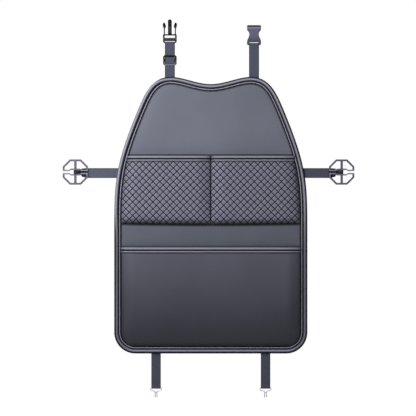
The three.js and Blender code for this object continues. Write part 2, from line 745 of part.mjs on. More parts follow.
// Opens the plate round its webbing bar, and puts the bar in. The bar lies on the origin. Over
// the webbing the opening may narrow towards its top.
function withWebbingBar(body, thickness, slotTop, topHalfWidth, foot) {
  const side = slotHalfWidth();
  const overWebbing = BAR_RADIUS + WEBBING_THICKNESS + 2 * SEAM_GAP;
  const slot = mirroredShape([[side, -foot - 1], [side, overWebbing], [topHalfWidth, slotTop]]);
  const opening = plate(slot, thickness, -thickness);
  return joined(cut(body, opening), webbingBar(side + 1));
}

// The prong half of a side-release buckle, moulded with its springy arms in one piece
function maleBuckle() {
  const side = BUCKLE_WIDTH / 2;
  const armIn = SIDE_ARM_OFFSET - SIDE_ARM_WIDTH / 2;
  const armOut = SIDE_ARM_OFFSET + SIDE_ARM_WIDTH / 2;
  const barb = [
    [armOut + 1.4, 3],
    [armOut + 2.5, 7],
    [armOut + 2.5, 10.5],
    [armOut + 1.1, 14],
    [SIDE_ARM_OFFSET + 0.6, 14.8],
    [SIDE_ARM_OFFSET - 1, 14.2],
    [armIn - 0.8, 11.5],
    [armIn - 2.5, 6.5],
    [armIn - 2.4, 3.5],
  ];
  const prong = CENTRE_PRONG_WIDTH / 2;
  const tip = Array.from({ length: 6 }, (_, i) => {
    const angle = (Math.PI / 2) * (i / 6);
    return [prong * Math.cos(angle), CENTRE_PRONG_TIP - prong + prong * Math.sin(angle)];
  });
  const half = [
    [side - 3.8, -BAR_RADIUS],
    [side - 1.2, 0.4],
    [side, 3.2],
    [side, MALE_BODY_HEIGHT - 3],
    [side - 0.8, MALE_BODY_HEIGHT - 0.8],
    [armOut, MALE_BODY_HEIGHT],
    [armOut, SIDE_ARM_TOP],
    ...barb.map(([x, rise]) => [x, SIDE_ARM_TOP + rise]),
    [armIn, SIDE_ARM_TOP],
    [armIn, MALE_BODY_HEIGHT],
    [prong, MALE_BODY_HEIGHT],
    ...tip,
  ];
  const plateWhole = plate(mirroredShape(half), MALE_THICKNESS / 2, -MALE_THICKNESS / 2, 0.5);
  const window = box(
    new THREE.Vector3(-slotHalfWidth(), -MALE_THICKNESS, MALE_CROSSBAR_TOP),
    new THREE.Vector3(slotHalfWidth(), MALE_THICKNESS, MALE_WINDOW_TOP),
  );
  return withWebbingBar(
    cut(plateWhole, window), MALE_THICKNESS, MALE_SLOT_TOP, slotHalfWidth(), BAR_RADIUS,
  );
}

// The socket half: a flat sleeve, open at its mouth and at both sides of its waist
function femaleBuckle() {
  const side = FEMALE_WIDTH / 2;
  const waist = FEMALE_WAIST_WIDTH / 2;
  const half = [
    [side - 4, -FEMALE_FOOT],
    [side - 1, 1.4 - FEMALE_FOOT],
    [side, 1.2],
    [side, FEMALE_GRIP_START],
    [side - 1, FEMALE_GRIP_START + 4],
    [side - 3, FEMALE_GRIP_START + 8],
    [waist + 1, FEMALE_WAIST_HEIGHT - 5.5],
    [waist, FEMALE_WAIST_HEIGHT],
    [waist + 1.4, FEMALE_WAIST_HEIGHT + 5],
    [side - 1.2, FEMALE_GRIP_END - 2],
    [side, FEMALE_GRIP_END],
    [side, FEMALE_LENGTH - 3],
    [side - 0.8, FEMALE_LENGTH - 0.8],
    [side - 3, FEMALE_LENGTH],
  ];
  const body = plate(mirroredShape(half), FEMALE_THICKNESS / 2, -FEMALE_THICKNESS / 2, 1.4);
  const cavity = box(
    new THREE.Vector3(-FEMALE_CAVITY_WIDTH / 2, -FEMALE_CAVITY_HEIGHT / 2, FEMALE_CAVITY_FLOOR),
    new THREE.Vector3(FEMALE_CAVITY_WIDTH / 2, FEMALE_CAVITY_HEIGHT / 2, FEMALE_LENGTH + 1),
  );
  return withWebbingBar(
    cut(body, cavity), FEMALE_THICKNESS, FEMALE_SLOT_TOP, FEMALE_SLOT_TOP_WIDTH / 2, FEMALE_FOOT,
  );
}

// Two end bars in front of the webbing and a middle bar behind it, on arched side rails.
// The strap runs straight through at its own level; the slider is placed by its middle.
function strapSlider() {
  const side = SLIDER_WIDTH / 2;
  const inner = slotHalfWidth();
  const barBack = STRAP_Y - WEBBING_THICKNESS / 2 - SEAM_GAP;
  const barFront = barBack - SLIDER_BAR_THICKNESS;
  const middleFront = TAIL_Y + WEBBING_THICKNESS / 2 + SEAM_GAP;
  const middleBack = middleFront + SLIDER_BAR_THICKNESS;
  const end = SLIDER_HEIGHT / 2;
  const flat = end - SLIDER_BAR_HEIGHT;
  const crest = SLIDER_BAR_HEIGHT;
  const arch = [
    [-end + 1, barFront],
    [end - 1, barFront],
    [end, barFront + 0.6],
    [end, barBack],
    [flat, barBack + 0.6],
    [crest, middleBack],
    [-crest, middleBack],
    [-flat, barBack + 0.6],
    [-end, barBack],
    [-end, barFront + 0.6],
  ].map(([z, y]) => new THREE.Vector2(z, y));
  const railFrames = (from, to) =>
    [[from, 0.8], [from + 1, 1], [to - 1, 1], [to, 0.86]].map(([x, size]) => ({
      origin: new THREE.Vector3(x, 0, 0),
      u: Z_AXIS.clone().multiplyScalar(size),
      v: Y_AXIS,
    }));
  const bar = (low, high, back, front) =>
    box(new THREE.Vector3(-inner - 1, front, low), new THREE.Vector3(inner + 1, back, high));
  const whole = joined(
    sweep(arch, railFrames(inner, side)),
    mirroredX(sweep(arch, railFrames(inner, side))),
    bar(flat, end - 0.4, barBack, barFront + 0.1),
    bar(-end + 0.4, -flat, barBack, barFront + 0.1),
    bar(-crest + 0.4, crest - 0.4, middleBack, middleFront),
  );
  const front = mirroredShape([
    [side - SLIDER_CORNER, -end],
    [side, SLIDER_CORNER - end],
    [side, end - SLIDER_CORNER],
    [side - SLIDER_CORNER, end],
  ]);
  return kept(whole, plate(front, middleBack, barFront));
}

// The octagonal side clip: two windowed halves joined by one spoke, with a channel between them.
// The inner end of the channel faces the panel, at smaller x. The spoke lies on the origin.
function sideClip() {
  const size = CLIP_SIZE / 2;
  const flat = CLIP_FLAT / 2;
  const slit = CLIP_SLIT_HEIGHT / 2;
  const channel = CLIP_CHANNEL_HEIGHT / 2;
  const wide = CLIP_CHANNEL_LENGTH / 2;
  const halfOutline = [
    [size - 1.2, slit],
    [size, slit + 1.2],
    [size, flat],
    [flat, size],
    [0, size],
  ];
  const outer = [
    [wide - CLIP_STEP_RUN / 2, channel],
    [wide + CLIP_STEP_RUN / 2, slit],
    ...halfOutline,
  ];
  const ring = [...outer, ...outer.slice(0, -1).reverse().map(([x, z]) => [-x, z])];
  const shape = new THREE.Shape(ring.map(([x, z]) => new THREE.Vector2(x, z)));
  const wall = CLIP_WALL;
  const innerFlat = flat - wall * Math.tan(Math.PI / 8);
  const window = [
    [CLIP_SPOKE_WIDTH / 2, channel + CLIP_CHANNEL_WALL],
    [wide - CLIP_STEP_RUN / 2, channel + CLIP_CHANNEL_WALL],
    [wide + CLIP_STEP_RUN / 2, slit + CLIP_CHANNEL_WALL],
    [size - wall, slit + CLIP_CHANNEL_WALL],
    [size - wall, innerFlat],
    [innerFlat, size - wall],
    [CLIP_SPOKE_WIDTH / 2, size - wall],
  ];
  const opening = new THREE.Shape(window.map(([x, z]) => new THREE.Vector2(x, z)));
  const rightWindow = plate(opening, CLIP_THICKNESS, -CLIP_THICKNESS);
  const body = plate(shape, CLIP_THICKNESS / 2, -CLIP_THICKNESS / 2, 0.5);
  const upper = cut(body, rightWindow, mirroredX(indexed(rightWindow)));
  const lower = upper.clone().rotateY(Math.PI);
  const pivot = new THREE.CylinderGeometry(
    CLIP_THICKNESS / 2,
    CLIP_THICKNESS / 2,
    CLIP_CHANNEL_HEIGHT + 2,
    12,
  ).rotateX(Math.PI / 2);
  return joined(upper, lower, pivot);
}

// Wire hook: one length of wire bent into an eye for the webbing, two shanks and a double hook.
// The path runs from the middle of the eye bar, down one side, to the middle of the tip.
function hookPath() {
  const eye = HOOK_EYE_WIDTH / 2;
  const shank = HOOK_WIRE_SPACING / 2;
  const corners = [
    new THREE.Vector3(0, 0, 0),
    new THREE.Vector3(eye, 0, 0),
    new THREE.Vector3(eye, 0, -0.72 * HOOK_EYE_HEIGHT),
    new THREE.Vector3(shank, 0, -HOOK_EYE_HEIGHT - 0.6),
    new THREE.Vector3(shank, 0, -HOOK_BEND_DROP),
  ];
  const path = new THREE.CurvePath();
  let from = corners[0];
  for (let i = 1; i < corners.length - 1; i++) {
    const corner = corners[i];
    const back = corners[i - 1].clone().sub(corner).setLength(HOOK_CORNER_RADIUS).add(corner);
    const on = corners[i + 1].clone().sub(corner).setLength(HOOK_CORNER_RADIUS).add(corner);
    path.add(new THREE.LineCurve3(from, back));
    path.add(new THREE.QuadraticBezierCurve3(back, corner, on));
    from = on;
  }
  path.add(new THREE.LineCurve3(from, corners[4]));
  const points = path.getPoints(2);
  const bend = 7;
  for (let i = 1; i <= bend; i++) {
    const angle = (Math.PI * i) / bend;
    const y = HOOK_BEND_RADIUS * (1 - Math.cos(angle));
    points.push(new THREE.Vector3(shank, y, -HOOK_BEND_DROP - HOOK_BEND_RADIUS * Math.sin(angle)));
  }
  const tipY = 2 * HOOK_BEND_RADIUS;
  const turn = 3;
  for (let i = 0; i <= turn; i++) {
    const angle = (Math.PI / 2) * (i / turn);
    const z = -HOOK_BEND_DROP + HOOK_TIP_RISE + shank * Math.sin(angle);
    points.push(new THREE.Vector3(shank * Math.cos(angle), tipY, z));
  }
  return points;
}

function closedTube(points, diameter) {
  const count = points.length;
  const direction = points.map((_, i) =>
    points[(i + 1) % count].clone().sub(points[(i + count - 1) % count]).normalize(),
  );
  const normals = [new THREE.Vector3().crossVectors(direction[0], Y_AXIS).normalize()];
  for (let i = 1; i <= count; i++) {
    const turn = new THREE.Quaternion().setFromUnitVectors(direction[i - 1], direction[i % count]);
    normals.push(normals[i - 1].clone().applyQuaternion(turn));
  }
  const side = new THREE.Vector3().crossVectors(direction[0], normals[0]);
  const twist = Math.atan2(normals[count].dot(side), normals[count].dot(normals[0]));
  const frames = points.map((origin, i) => {
    const u = normals[i].clone().applyAxisAngle(direction[i], (-twist * i) / count);
    return { origin, u, v: new THREE.Vector3().crossVectors(direction[i], u) };
  });
  const sides = 8;
  const profile = Array.from({ length: sides }, (_, i) => {
    const angle = (2 * Math.PI * i) / sides;
    return new THREE.Vector2(Math.cos(angle), Math.sin(angle)).multiplyScalar(diameter / 2);
  });
  return sweep(profile, frames, true);
}

function wireHook() {
  const right = hookPath();
  const left = right.slice(1, -1).reverse().map((point) => new THREE.Vector3(-point.x, point.y, point.z));
  return closedTube([...right, ...left], WIRE_DIAMETER);
}

// Assembly

const organizer = new THREE.Group();

function addPiece(name, geometry, finish, position = new THREE.Vector3()) {
  const mesh = new THREE.Mesh(geometry, new THREE.MeshStandardMaterial(FINISHES[finish]));
  mesh.name = name;
  mesh.position.copy(position);
  organizer.add(mesh);
  return mesh;
}

addPiece('face_panel', facePanel(), 'faceLeather');
addPiece('foam_core', foamCore(), 'foam');
addPiece('back_lining', backLining(), 'lining');
addPiece('edge_binding', edgeBinding(), 'trimLeather');
addPiece('inner_piping', innerPiping(), 'trimLeather');

// The quilting runs on across the centre seam, so it isn't mirrored
const pocketHem = upperHem();
addPiece('upper_pocket_right', upperPocket(QUILT_OFFSET_RIGHT - QUILT_PITCH), 'quiltedLeather');
addPiece('upper_pocket_left', mirroredX(upperPocket(QUILT_OFFSET_LEFT - QUILT_PITCH)), 'quiltedLeather');
addPiece('upper_hem_right', pocketHem, 'trimLeather');
addPiece('upper_hem_left', mirroredX(pocketHem), 'trimLeather');
addPiece('lower_pocket', lowerPocket(), 'pocketLeather');
addPiece('lower_hem', lowerHem(), 'trimLeather');

const maleBar = new THREE.Vector3(-TOP_LEFT_OFFSET, LOOP_Y, PANEL_TOP + MALE_BAR_RISE);
const femaleBar = new THREE.Vector3(TOP_RIGHT_OFFSET, LOOP_Y, PANEL_TOP + FEMALE_BAR_RISE);
const topStrap = (bar, tailLength) =>
  loopedStrap({
    x: bar.x,
    sewnEnd: topAt(outline, Math.abs(bar.x)) - SEWN_LENGTH,
    barHeight: bar.z,
    barRadius: BAR_RADIUS,
    tailLength,
    width: TOP_WEBBING_WIDTH,
    direction: 1,
  });
addPiece('top_strap_left', topStrap(maleBar, SLIDER_TAIL_LENGTH), 'webbing');
addPiece('top_strap_right', topStrap(femaleBar, RIGHT_TAIL_LENGTH), 'webbing');
addPiece('male_buckle', maleBuckle(), 'blackPlastic', maleBar);
addPiece('female_buckle', femaleBuckle(), 'greyPlastic', femaleBar);
const sliderCentre = new THREE.Vector3(-TOP_LEFT_OFFSET, 0, PANEL_TOP + SLIDER_RISE);
addPiece('strap_slider', strapSlider(), 'blackPlastic', sliderCentre);

const clip = sideClip();
const clipCentre = (x) => new THREE.Vector3(x, clipCentreY, CLIP_HEIGHT);
addPiece('side_strap_right', sideStrap(CLIP_RIGHT_OFFSET), 'webbing');
addPiece('side_strap_left', mirroredX(sideStrap(CLIP_LEFT_OFFSET)), 'webbing');
addPiece('side_clip_right', clip, 'greyPlastic', clipCentre(CLIP_RIGHT_OFFSET));
addPiece('side_clip_left', clip, 'greyPlastic', clipCentre(-CLIP_LEFT_OFFSET));

const hookBar = PANEL_BOTTOM - HOOK_BAR_DROP;
for (const [side, hand] of [['left', -1], ['right', 1]]) {
  const x = hand * BOTTOM_STRAP_OFFSET;
  const strap = loopedStrap({
    x,
    sewnEnd: PANEL_BOTTOM + SEWN_LENGTH,
    barHeight: hookBar,
    barRadius: WIRE_DIAMETER / 2,
    tailLength: BOTTOM_TAIL_LENGTH,
    width: BOTTOM_WEBBING_WIDTH,
    direction: -1,
  });
  addPiece(`bottom_strap_${side}`, strap, 'webbing');
  addPiece(`wire_hook_${side}`, wireHook(), 'steelWire', new THREE.Vector3(x, LOOP_Y, hookBar));
}

export default organizer;
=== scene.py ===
"""Car seat back organizer: a padded leather panel with two quilted upper pockets, one wide lower
pocket, and webbing straps that carry its buckles, side clips and wire hooks.

Metres. X runs across the panel, -Y faces the viewer, +Z is up. The origin is the centre of the
panel's rear face."""

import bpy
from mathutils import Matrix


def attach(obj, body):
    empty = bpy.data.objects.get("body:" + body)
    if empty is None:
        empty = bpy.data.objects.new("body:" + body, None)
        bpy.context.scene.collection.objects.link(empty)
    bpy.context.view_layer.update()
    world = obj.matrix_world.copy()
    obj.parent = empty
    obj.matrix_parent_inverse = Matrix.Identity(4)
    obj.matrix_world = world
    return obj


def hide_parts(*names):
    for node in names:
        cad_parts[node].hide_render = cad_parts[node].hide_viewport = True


bl_info = {
    "name": "Car Seat Back Organizer",
    "version": (1, 0, 0),
    "blender": (4, 5, 0),
    "location": "View3D > Sidebar > Organizer",
    "description": "Builds the leather, webbing and hardware of a seat back organizer",
    "category": "Object",
}

import math

import bmesh
import bpy
import numpy as np
from mathutils import Vector, noise
from mathutils.geometry import delaunay_2d_cdt

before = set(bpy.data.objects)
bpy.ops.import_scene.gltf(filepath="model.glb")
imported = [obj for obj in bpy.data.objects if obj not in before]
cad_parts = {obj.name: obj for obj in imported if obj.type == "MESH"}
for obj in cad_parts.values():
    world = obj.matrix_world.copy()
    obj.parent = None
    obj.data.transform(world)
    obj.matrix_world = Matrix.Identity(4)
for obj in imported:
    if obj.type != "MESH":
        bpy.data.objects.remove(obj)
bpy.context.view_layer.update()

MM = 0.001

# Outline of the panel
PANEL_WIDTH = 482.5 * MM
PANEL_HEIGHT = 691 * MM
CORNER_RADIUS = 53 * MM
SIDE_STRAIGHT = 262.5 * MM
SIDE_HANDLE = 111 * MM
SHOULDER_INSET = 57.7 * MM
SHOULDER_DROP = 86 * MM
SHOULDER_LEAN = math.radians(22.6)
SHOULDER_LOWER_HANDLE = 145 * MM
SHOULDER_UPPER_HANDLE = 49 * MM
HUMP_OFFSET = 99 * MM
HUMP_OUTER_HANDLE = 49 * MM
HUMP_INNER_HANDLE = 30 * MM
NOTCH_DEPTH = 17.9 * MM
NOTCH_HANDLE = 35 * MM
PANEL_TOP = PANEL_HEIGHT / 2
PANEL_BOTTOM = -PANEL_HEIGHT / 2

# Layers through the thickness
SEAM_GAP = 0.3 * MM
LINING_THICKNESS = 1.2 * MM
CORE_BACK = -1.5 * MM
FACE_FRONT = -6.3 * MM
BINDING_WIDTH = 10.4 * MM
BINDING_CROWN = -9.1 * MM
PIPING_WIDTH = 3.2 * MM
PIPING_HEIGHT = 3 * MM
PIPING_GROOVE = 2 * MM
LAYER_INSET = 3.3 * MM
BORDER_INSET = BINDING_WIDTH + PIPING_GROOVE + PIPING_WIDTH + SEAM_GAP
WALL_BACK = FACE_FRONT - SEAM_GAP

# Pockets
POCKET_WALL = 2 * MM
HEM_HEIGHT = 16.8 * MM
UPPER_MOUTH = 149.8 * MM
UPPER_SEAM = -21.4 * MM
UPPER_SAG = 2.5 * MM
UPPER_FULLNESS = 11 * MM
UPPER_SIDE_ROLL = 38 * MM
UPPER_BOTTOM_ROLL = 42 * MM
QUILT_OFFSET_RIGHT = 6.75 * MM
QUILT_OFFSET_LEFT = 8.3 * MM
QUILT_RISE = 1.8 * MM
LOWER_MOUTH = -78.5 * MM
LOWER_FULLNESS = 20 * MM
LOWER_MOUTH_SHARE = 0.55
LOWER_SIDE_ROLL = 36 * MM
LOWER_BOTTOM_ROLL = 120 * MM
LOWER_SAG_RUN = 110 * MM
UPPER_HEM_BOTTOM = UPPER_MOUTH - HEM_HEIGHT
LOWER_HEM_BOTTOM = LOWER_MOUTH - HEM_HEIGHT
POCKET_FLOOR = PANEL_BOTTOM + BORDER_INSET

# Webbing
WEBBING_THICKNESS = 1.2 * MM
TOP_WEBBING_WIDTH = 25 * MM
SIDE_WEBBING_WIDTH = 24.6 * MM
BOTTOM_WEBBING_WIDTH = 23.7 * MM
SEWN_LENGTH = 26 * MM
STRAP_Y = -3 * MM
STRAP_FRONT = STRAP_Y - WEBBING_THICKNESS / 2
TAIL_Y = -1.5 * MM
LOOP_Y = -2.25 * MM
LOOP_LEAD = 8 * MM
TOP_LEFT_X = -102.3 * MM
TOP_RIGHT_X = 108 * MM
BOTTOM_STRAP_X = 136.8 * MM
SIDE_STRAP_Z = 105.3 * MM
MALE_BAR_Z = 431.1 * MM
FEMALE_BAR_Z = 427.8 * MM
SLIDER_Z = 386.9 * MM
SLIDER_HEIGHT = 26.2 * MM
HOOK_BAR_Z = -431.1 * MM
BUCKLE_BAR_RADIUS = 1.2 * MM
SLIDER_TAIL = 60 * MM
RIGHT_TAIL = 24 * MM
BOTTOM_TAIL = 30 * MM

# Side clips and wire hooks
CLIP_Y = -6.15 * MM
CLIP_Z = 107.8 * MM
CLIP_SIZE = 63.2 * MM
CLIP_THICKNESS = 4.5 * MM
CLIP_CHANNEL_LENGTH = 27 * MM
CLIP_LOOP_WIDTH = 10 * MM
CLIP_LOOP_THICKNESS = 1.8 * MM
CLIP_LEFT_X = -338.2 * MM
CLIP_RIGHT_X = 326.8 * MM
WIRE_DIAMETER = 2.2 * MM
HOOK_EYE_WIDTH = 27.2 * MM
HOOK_EYE_HEIGHT = 8.4 * MM
HOOK_WIRE_SPACING = 4.7 * MM
HOOK_BEND_DROP = 18.2 * MM
HOOK_BEND_RADIUS = 4.9 * MM
HOOK_TIP_RISE = 3.4 * MM
HOOK_CORNER_RADIUS = 2.4 * MM

# The photograph: square, 416 points wide, seen straight on
VIEW_WIDTH = 1.04
VIEW_DISTANCE = 6.0
VIEW_X = -7 * MM
VIEW_Z = 18 * MM


class OrganizerSizes(bpy.types.PropertyGroup):
    """Sizes of the soft detail"""

    quilt_pitch: bpy.props.FloatProperty(
        name="Quilt Pitch", description="Diagonal of one quilted diamond",
        default=16.95 * MM, min=8 * MM, max=40 * MM, unit="LENGTH",
    )
    quilt_relief: bpy.props.FloatProperty(
        name="Quilt Relief", description="Height of the padding between the stitched grooves",
        default=1.9 * MM, min=0, max=4 * MM, unit="LENGTH",
    )
    face_crown: bpy.props.FloatProperty(
        name="Face Crown", description="How far the padded face stands proud between its seams",
        default=1.5 * MM, min=0, max=4 * MM, unit="LENGTH",
    )
    pucker_depth: bpy.props.FloatProperty(
        name="Pucker Depth", description="Depth of the small gathers along the sewn edge",
        default=0.16 * MM, min=0, max=1 * MM, unit="LENGTH",
    )
    stitch_length: bpy.props.FloatProperty(
        name="Stitch Length", description="Length of one stitch with its gap",
        default=4 * MM, min=1 * MM, max=10 * MM, unit="LENGTH",
    )
    thread_width: bpy.props.FloatProperty(
        name="Thread Width", description="Thickness of the sewing thread",
        default=0.55 * MM, min=0.2 * MM, max=1.5 * MM, unit="LENGTH",
    )


def colour(name, description, default):
    return bpy.props.FloatVectorProperty(
        name=name, description=description, subtype="COLOR", size=3, min=0, max=1, default=default
    )


class OrganizerColours(bpy.types.PropertyGroup):
    """Colours of the materials"""

    face: colour("Face Leather", "Smooth leather of the panel", (0.149, 0.155, 0.196))
    # Painted shade: the face leather between the pockets, painted darker where less light reaches it.
    strip: colour("Middle Strip Shade", "Smooth leather between the pockets", (0.109, 0.114, 0.146))
    quilt: colour("Quilted Leather", "Padded leather of the upper pockets", (0.232, 0.226, 0.295))
    # Painted shade: the lower pocket's leather is painted darker from its hem down to its floor.
    pocket_high: colour("Pocket Top", "Lower pocket under its hem", (0.09, 0.09, 0.119))
    pocket_low_shaded: colour("Pocket Bottom Shade", "Lower pocket near its floor", (0.03, 0.032, 0.039))
    trim: colour("Trim Highlight", "Binding, piping and hems on their crowns", (0.34, 0.345, 0.42))
    trim_shade: colour("Trim Shade", "Binding, piping and hems on their flanks", (0.006, 0.0065, 0.012))
    # Painted shade in the stitched grooves of the quilting.
    groove_shade: colour("Groove Shade", "Stitched grooves of the quilting", (0.008, 0.008, 0.02))
    seam: colour("Seam Shade", "Leather where it turns under at a seam", (0.004, 0.004, 0.007))
    webbing: colour("Webbing", "Woven straps", (0.117, 0.126, 0.18))
    webbing_shade: colour("Webbing Shade", "Straps between yarns and where gathered", (0.012, 0.013, 0.02))
    thread: colour("Thread", "Sewing thread", (0.02, 0.021, 0.03))
    lining: colour("Lining", "Backing cloth", (0.022, 0.022, 0.027))
    fibre: colour("Lining Fibre", "Lighter fibres of the backing cloth", (0.09, 0.09, 0.105))
    black_plastic: colour("Black Plastic", "Prong buckle and slider", (0.005, 0.005, 0.007))
    grey_plastic: colour("Grey Plastic", "Socket buckle and side clips", (0.105, 0.097, 0.148))
    # Painted shade on the edges of the plastic parts, and on the socket buckle's rim and feet.
    plastic_edge_shade: colour("Plastic Edge Shade", "Rim and feet of the socket buckle", (0.006, 0.006, 0.01))
    # Painted sheen: a lighter band along the prongs, and a painted highlight on the crossbar.
    prong_highlight: colour("Prong Highlight", "Prongs of the buckle along their middle", (0.028, 0.027, 0.035))
    crossbar_highlight: colour("Crossbar Highlight", "Crossbar under the prongs", (0.06, 0.058, 0.072))
    # Painted sheen on the slider's lower half, and a painted highlight on its bottom bar.
    slider_side_sheen: colour("Slider Side Sheen", "Lower half of the slider", (0.05, 0.05, 0.06))
    slider_foot_highlight: colour("Slider Foot Highlight", "Bottom bar of the slider", (0.17, 0.17, 0.2))
    # Painted shade on the socket buckle's lower half, and a painted highlight under its mouth.
    socket_foot_shade: colour("Socket Foot Shade", "Lower half of the socket buckle", (0.06, 0.062, 0.09))
    socket_lip_highlight: colour("Socket Lip Highlight", "Light line under the socket's mouth", (0.19, 0.185, 0.26))
    # Painted highlight on the walls of the side clips' slit.
    clip_slit_highlight: colour("Clip Slit Highlight", "Walls of the slit in the side clips", (0.22, 0.21, 0.29))
    wire: colour("Wire", "Plated hook wire", (0.44, 0.44, 0.46))


# Curves in the plane of the panel, as arrays of X and Z


def bezier(start, handle_a, handle_b, end, steps=40):
    t = np.linspace(0, 1, steps, endpoint=False)[:, None]
    points = [np.array(p, float) for p in (start, handle_a, handle_b, end)]
    a, b, c, d = points
    return (1 - t) ** 3 * a + 3 * (1 - t) ** 2 * t * b + 3 * (1 - t) * t**2 * c + t**3 * d


def evenly(points, spacing, closed):
    """The same line with its points an even distance apart"""
    line = np.vstack([points, points[:1]]) if closed else points
    run = np.concatenate([[0], np.cumsum(np.linalg.norm(np.diff(line, axis=0), axis=1))])
    count = max(2, round(run[-1] / spacing))
    at = np.linspace(0, run[-1], count, endpoint=not closed)
    return np.column_stack([np.interp(at, run, line[:, k]) for k in range(line.shape[1])])


def panel_outline():
    side = PANEL_WIDTH / 2
    centre = np.array([side - CORNER_RADIUS, PANEL_BOTTOM + CORNER_RADIUS])
    turn = np.linspace(-math.pi / 2, 0, 30)
    corner = centre + CORNER_RADIUS * np.column_stack([np.cos(turn), np.sin(turn)])
    straight_top = PANEL_BOTTOM + CORNER_RADIUS + SIDE_STRAIGHT
    shoulder = np.array([side - SHOULDER_INSET, PANEL_TOP - SHOULDER_DROP])
    lean = np.array([math.sin(SHOULDER_LEAN), -math.cos(SHOULDER_LEAN)])
    hump = (HUMP_OFFSET, PANEL_TOP)
    notch = PANEL_TOP - NOTCH_DEPTH
    right = np.vstack([
        corner,
        bezier(
            (side, straight_top),
            (side, straight_top + SIDE_HANDLE),
            shoulder + lean * SHOULDER_LOWER_HANDLE,
            shoulder,
        ),
        bezier(
            shoulder,
            shoulder - lean * SHOULDER_UPPER_HANDLE,
            (HUMP_OFFSET + HUMP_OUTER_HANDLE, PANEL_TOP),
            hump,
        ),
        bezier(hump, (HUMP_OFFSET - HUMP_INNER_HANDLE, PANEL_TOP), (NOTCH_HANDLE, notch), (0, notch)),
        [(0, notch)],
    ])
    left = right[-2::-1] * (-1, 1)
    return evenly(np.vstack([right, left]), 3.2 * MM, closed=True)


def inward(loop):
    """Unit vectors that point into an anticlockwise loop"""
    along = np.roll(loop, -1, axis=0) - np.roll(loop, 1, axis=0)
    along /= np.linalg.norm(along, axis=1)[:, None]
    return np.column_stack([-along[:, 1], along[:, 0]])


def inset(loop, distance):
    return loop + inward(loop) * distance


def half_width(loop, height):
    """Half the width of a loop at these heights, up to its shoulders"""
    top = int(np.argmax(np.where(loop[:, 0] > 0, loop[:, 1], -1)))
    return np.interp(height, loop[: top + 1, 1], loop[: top + 1, 0])


def inside(loop, points):
    """Whether each point is inside a closed loop"""
    found = np.zeros(len(points), bool)
    for a, b in zip(loop, np.roll(loop, -1, axis=0)):
        crosses = (a[1] > points[:, 1]) != (b[1] > points[:, 1])
        if crosses.any():
            at = a[0] + (points[:, 1] - a[1]) * (b[0] - a[0]) / (b[1] - a[1] + 1e-12)
            found ^= crosses & (points[:, 0] < at)
    return found


def distance_to(loop, points):
    return np.array([np.linalg.norm(loop - p, axis=1).min() for p in points])


OUTLINE = panel_outline()
BORDER = inset(OUTLINE, BORDER_INSET)


# Meshes


def grid_faces(rows, columns, close_rows=False, close_columns=False):
    """Quads over rows of points, each row holding the same number of columns"""
    faces = []
    for i in range(rows if close_rows else rows - 1):
        for j in range(columns if close_columns else columns - 1):
            k, m = (i + 1) % rows, (j + 1) % columns
            faces.append((i * columns + j, i * columns + m, k * columns + m, k * columns + j))
    return faces


def make_piece(name, points, faces, material, body, stands_for=(), values=None, facing=None):
    """A new piece in place. values are numbers kept on its points, by name; facing turns an open
    sheet's faces to that direction."""
    mesh = bpy.data.meshes.new(name)
    mesh.from_pydata([tuple(p) for p in points], [], faces)
    for key, numbers in (values or {}).items():
        numbers = np.asarray(numbers, np.float32)
        kind, field = ("FLOAT", "value") if numbers.ndim == 1 else ("FLOAT_VECTOR", "vector")
        mesh.attributes.new(key, kind, "POINT").data.foreach_set(field, numbers.ravel())
    bm = bmesh.new()
    bm.from_mesh(mesh)
    bmesh.ops.remove_doubles(bm, verts=bm.verts, dist=1e-6)
    bmesh.ops.dissolve_degenerate(bm, edges=bm.edges, dist=1e-7)
    bmesh.ops.recalc_face_normals(bm, faces=bm.faces)
    if facing is not None:
        if sum((f.normal * f.calc_area() for f in bm.faces), Vector()).dot(Vector(facing)) < 0:
            bmesh.ops.reverse_faces(bm, faces=bm.faces)
    bm.to_mesh(mesh)
    bm.free()
    mesh.shade_smooth()
    mesh.materials.append(material)
    piece = bpy.data.objects.new(name, mesh)
    bpy.context.scene.collection.objects.link(piece)
    return settle(piece, body, stands_for)


def settle(piece, body, stands_for=()):
    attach(piece, body)
    if stands_for:
        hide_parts(*stands_for)
    return piece


def thicken(piece, thickness):
    """Gives an open sheet its thickness behind its faces"""
    modifier = piece.modifiers.new("Thickness", "SOLIDIFY")
    modifier.thickness = thickness
    modifier.offset = -1


def swept_loop(loop, profile):
    """Points of a closed profile of inset and level, carried round a loop"""
    normals = inward(loop)
    rings = [
        np.column_stack([
            loop[:, 0] + normals[:, 0] * across,
            np.full(len(loop), level),
            loop[:, 1] + normals[:, 1] * across,
        ])
        for across, level in profile
    ]
    return np.stack(rings, axis=1).reshape(-1, 3)


def smooth_profile(corners, count=40):
    """A closed profile through rounded corners"""
    ring = np.array(corners, float)
    for _ in range(2):
        after = np.roll(ring, -1, axis=0)
        ring = np.stack([0.75 * ring + 0.25 * after, 0.25 * ring + 0.75 * after], axis=1).reshape(-1, 2)
    around = np.linalg.norm(np.diff(np.vstack([ring, ring[:1]]), axis=0), axis=1).sum()
    return evenly(ring, around / count, True)


def band(value, centre, width):
    """1 at the centre, falling smoothly to 0 a width away"""
    return np.exp(-(((value - centre) / width) ** 2))


def roll(distance, run):
    """A wall's rise from its seam"""
    return np.sin(math.pi / 2 * np.clip(distance / run, 0, 1))


def near(distance, run):
    """1 on a line, falling smoothly to 0 at the given distance from it"""
    share = 1 - np.clip(distance / run, 0, 1)
    return share**2 * (3 - 2 * share)


def tuck(distance, run):
    """A rise that starts steeply, where leather turns under at a seam"""
    share = np.clip(distance / run, 0, 1)
    return np.sqrt(1 - (1 - share) ** 2)


# Shader nodes


def add_node(tree, kind, place, **settings):
    made = tree.nodes.new(kind)
    made.location = place
    for key, value in settings.items():
        setattr(made, key, value)
    return made


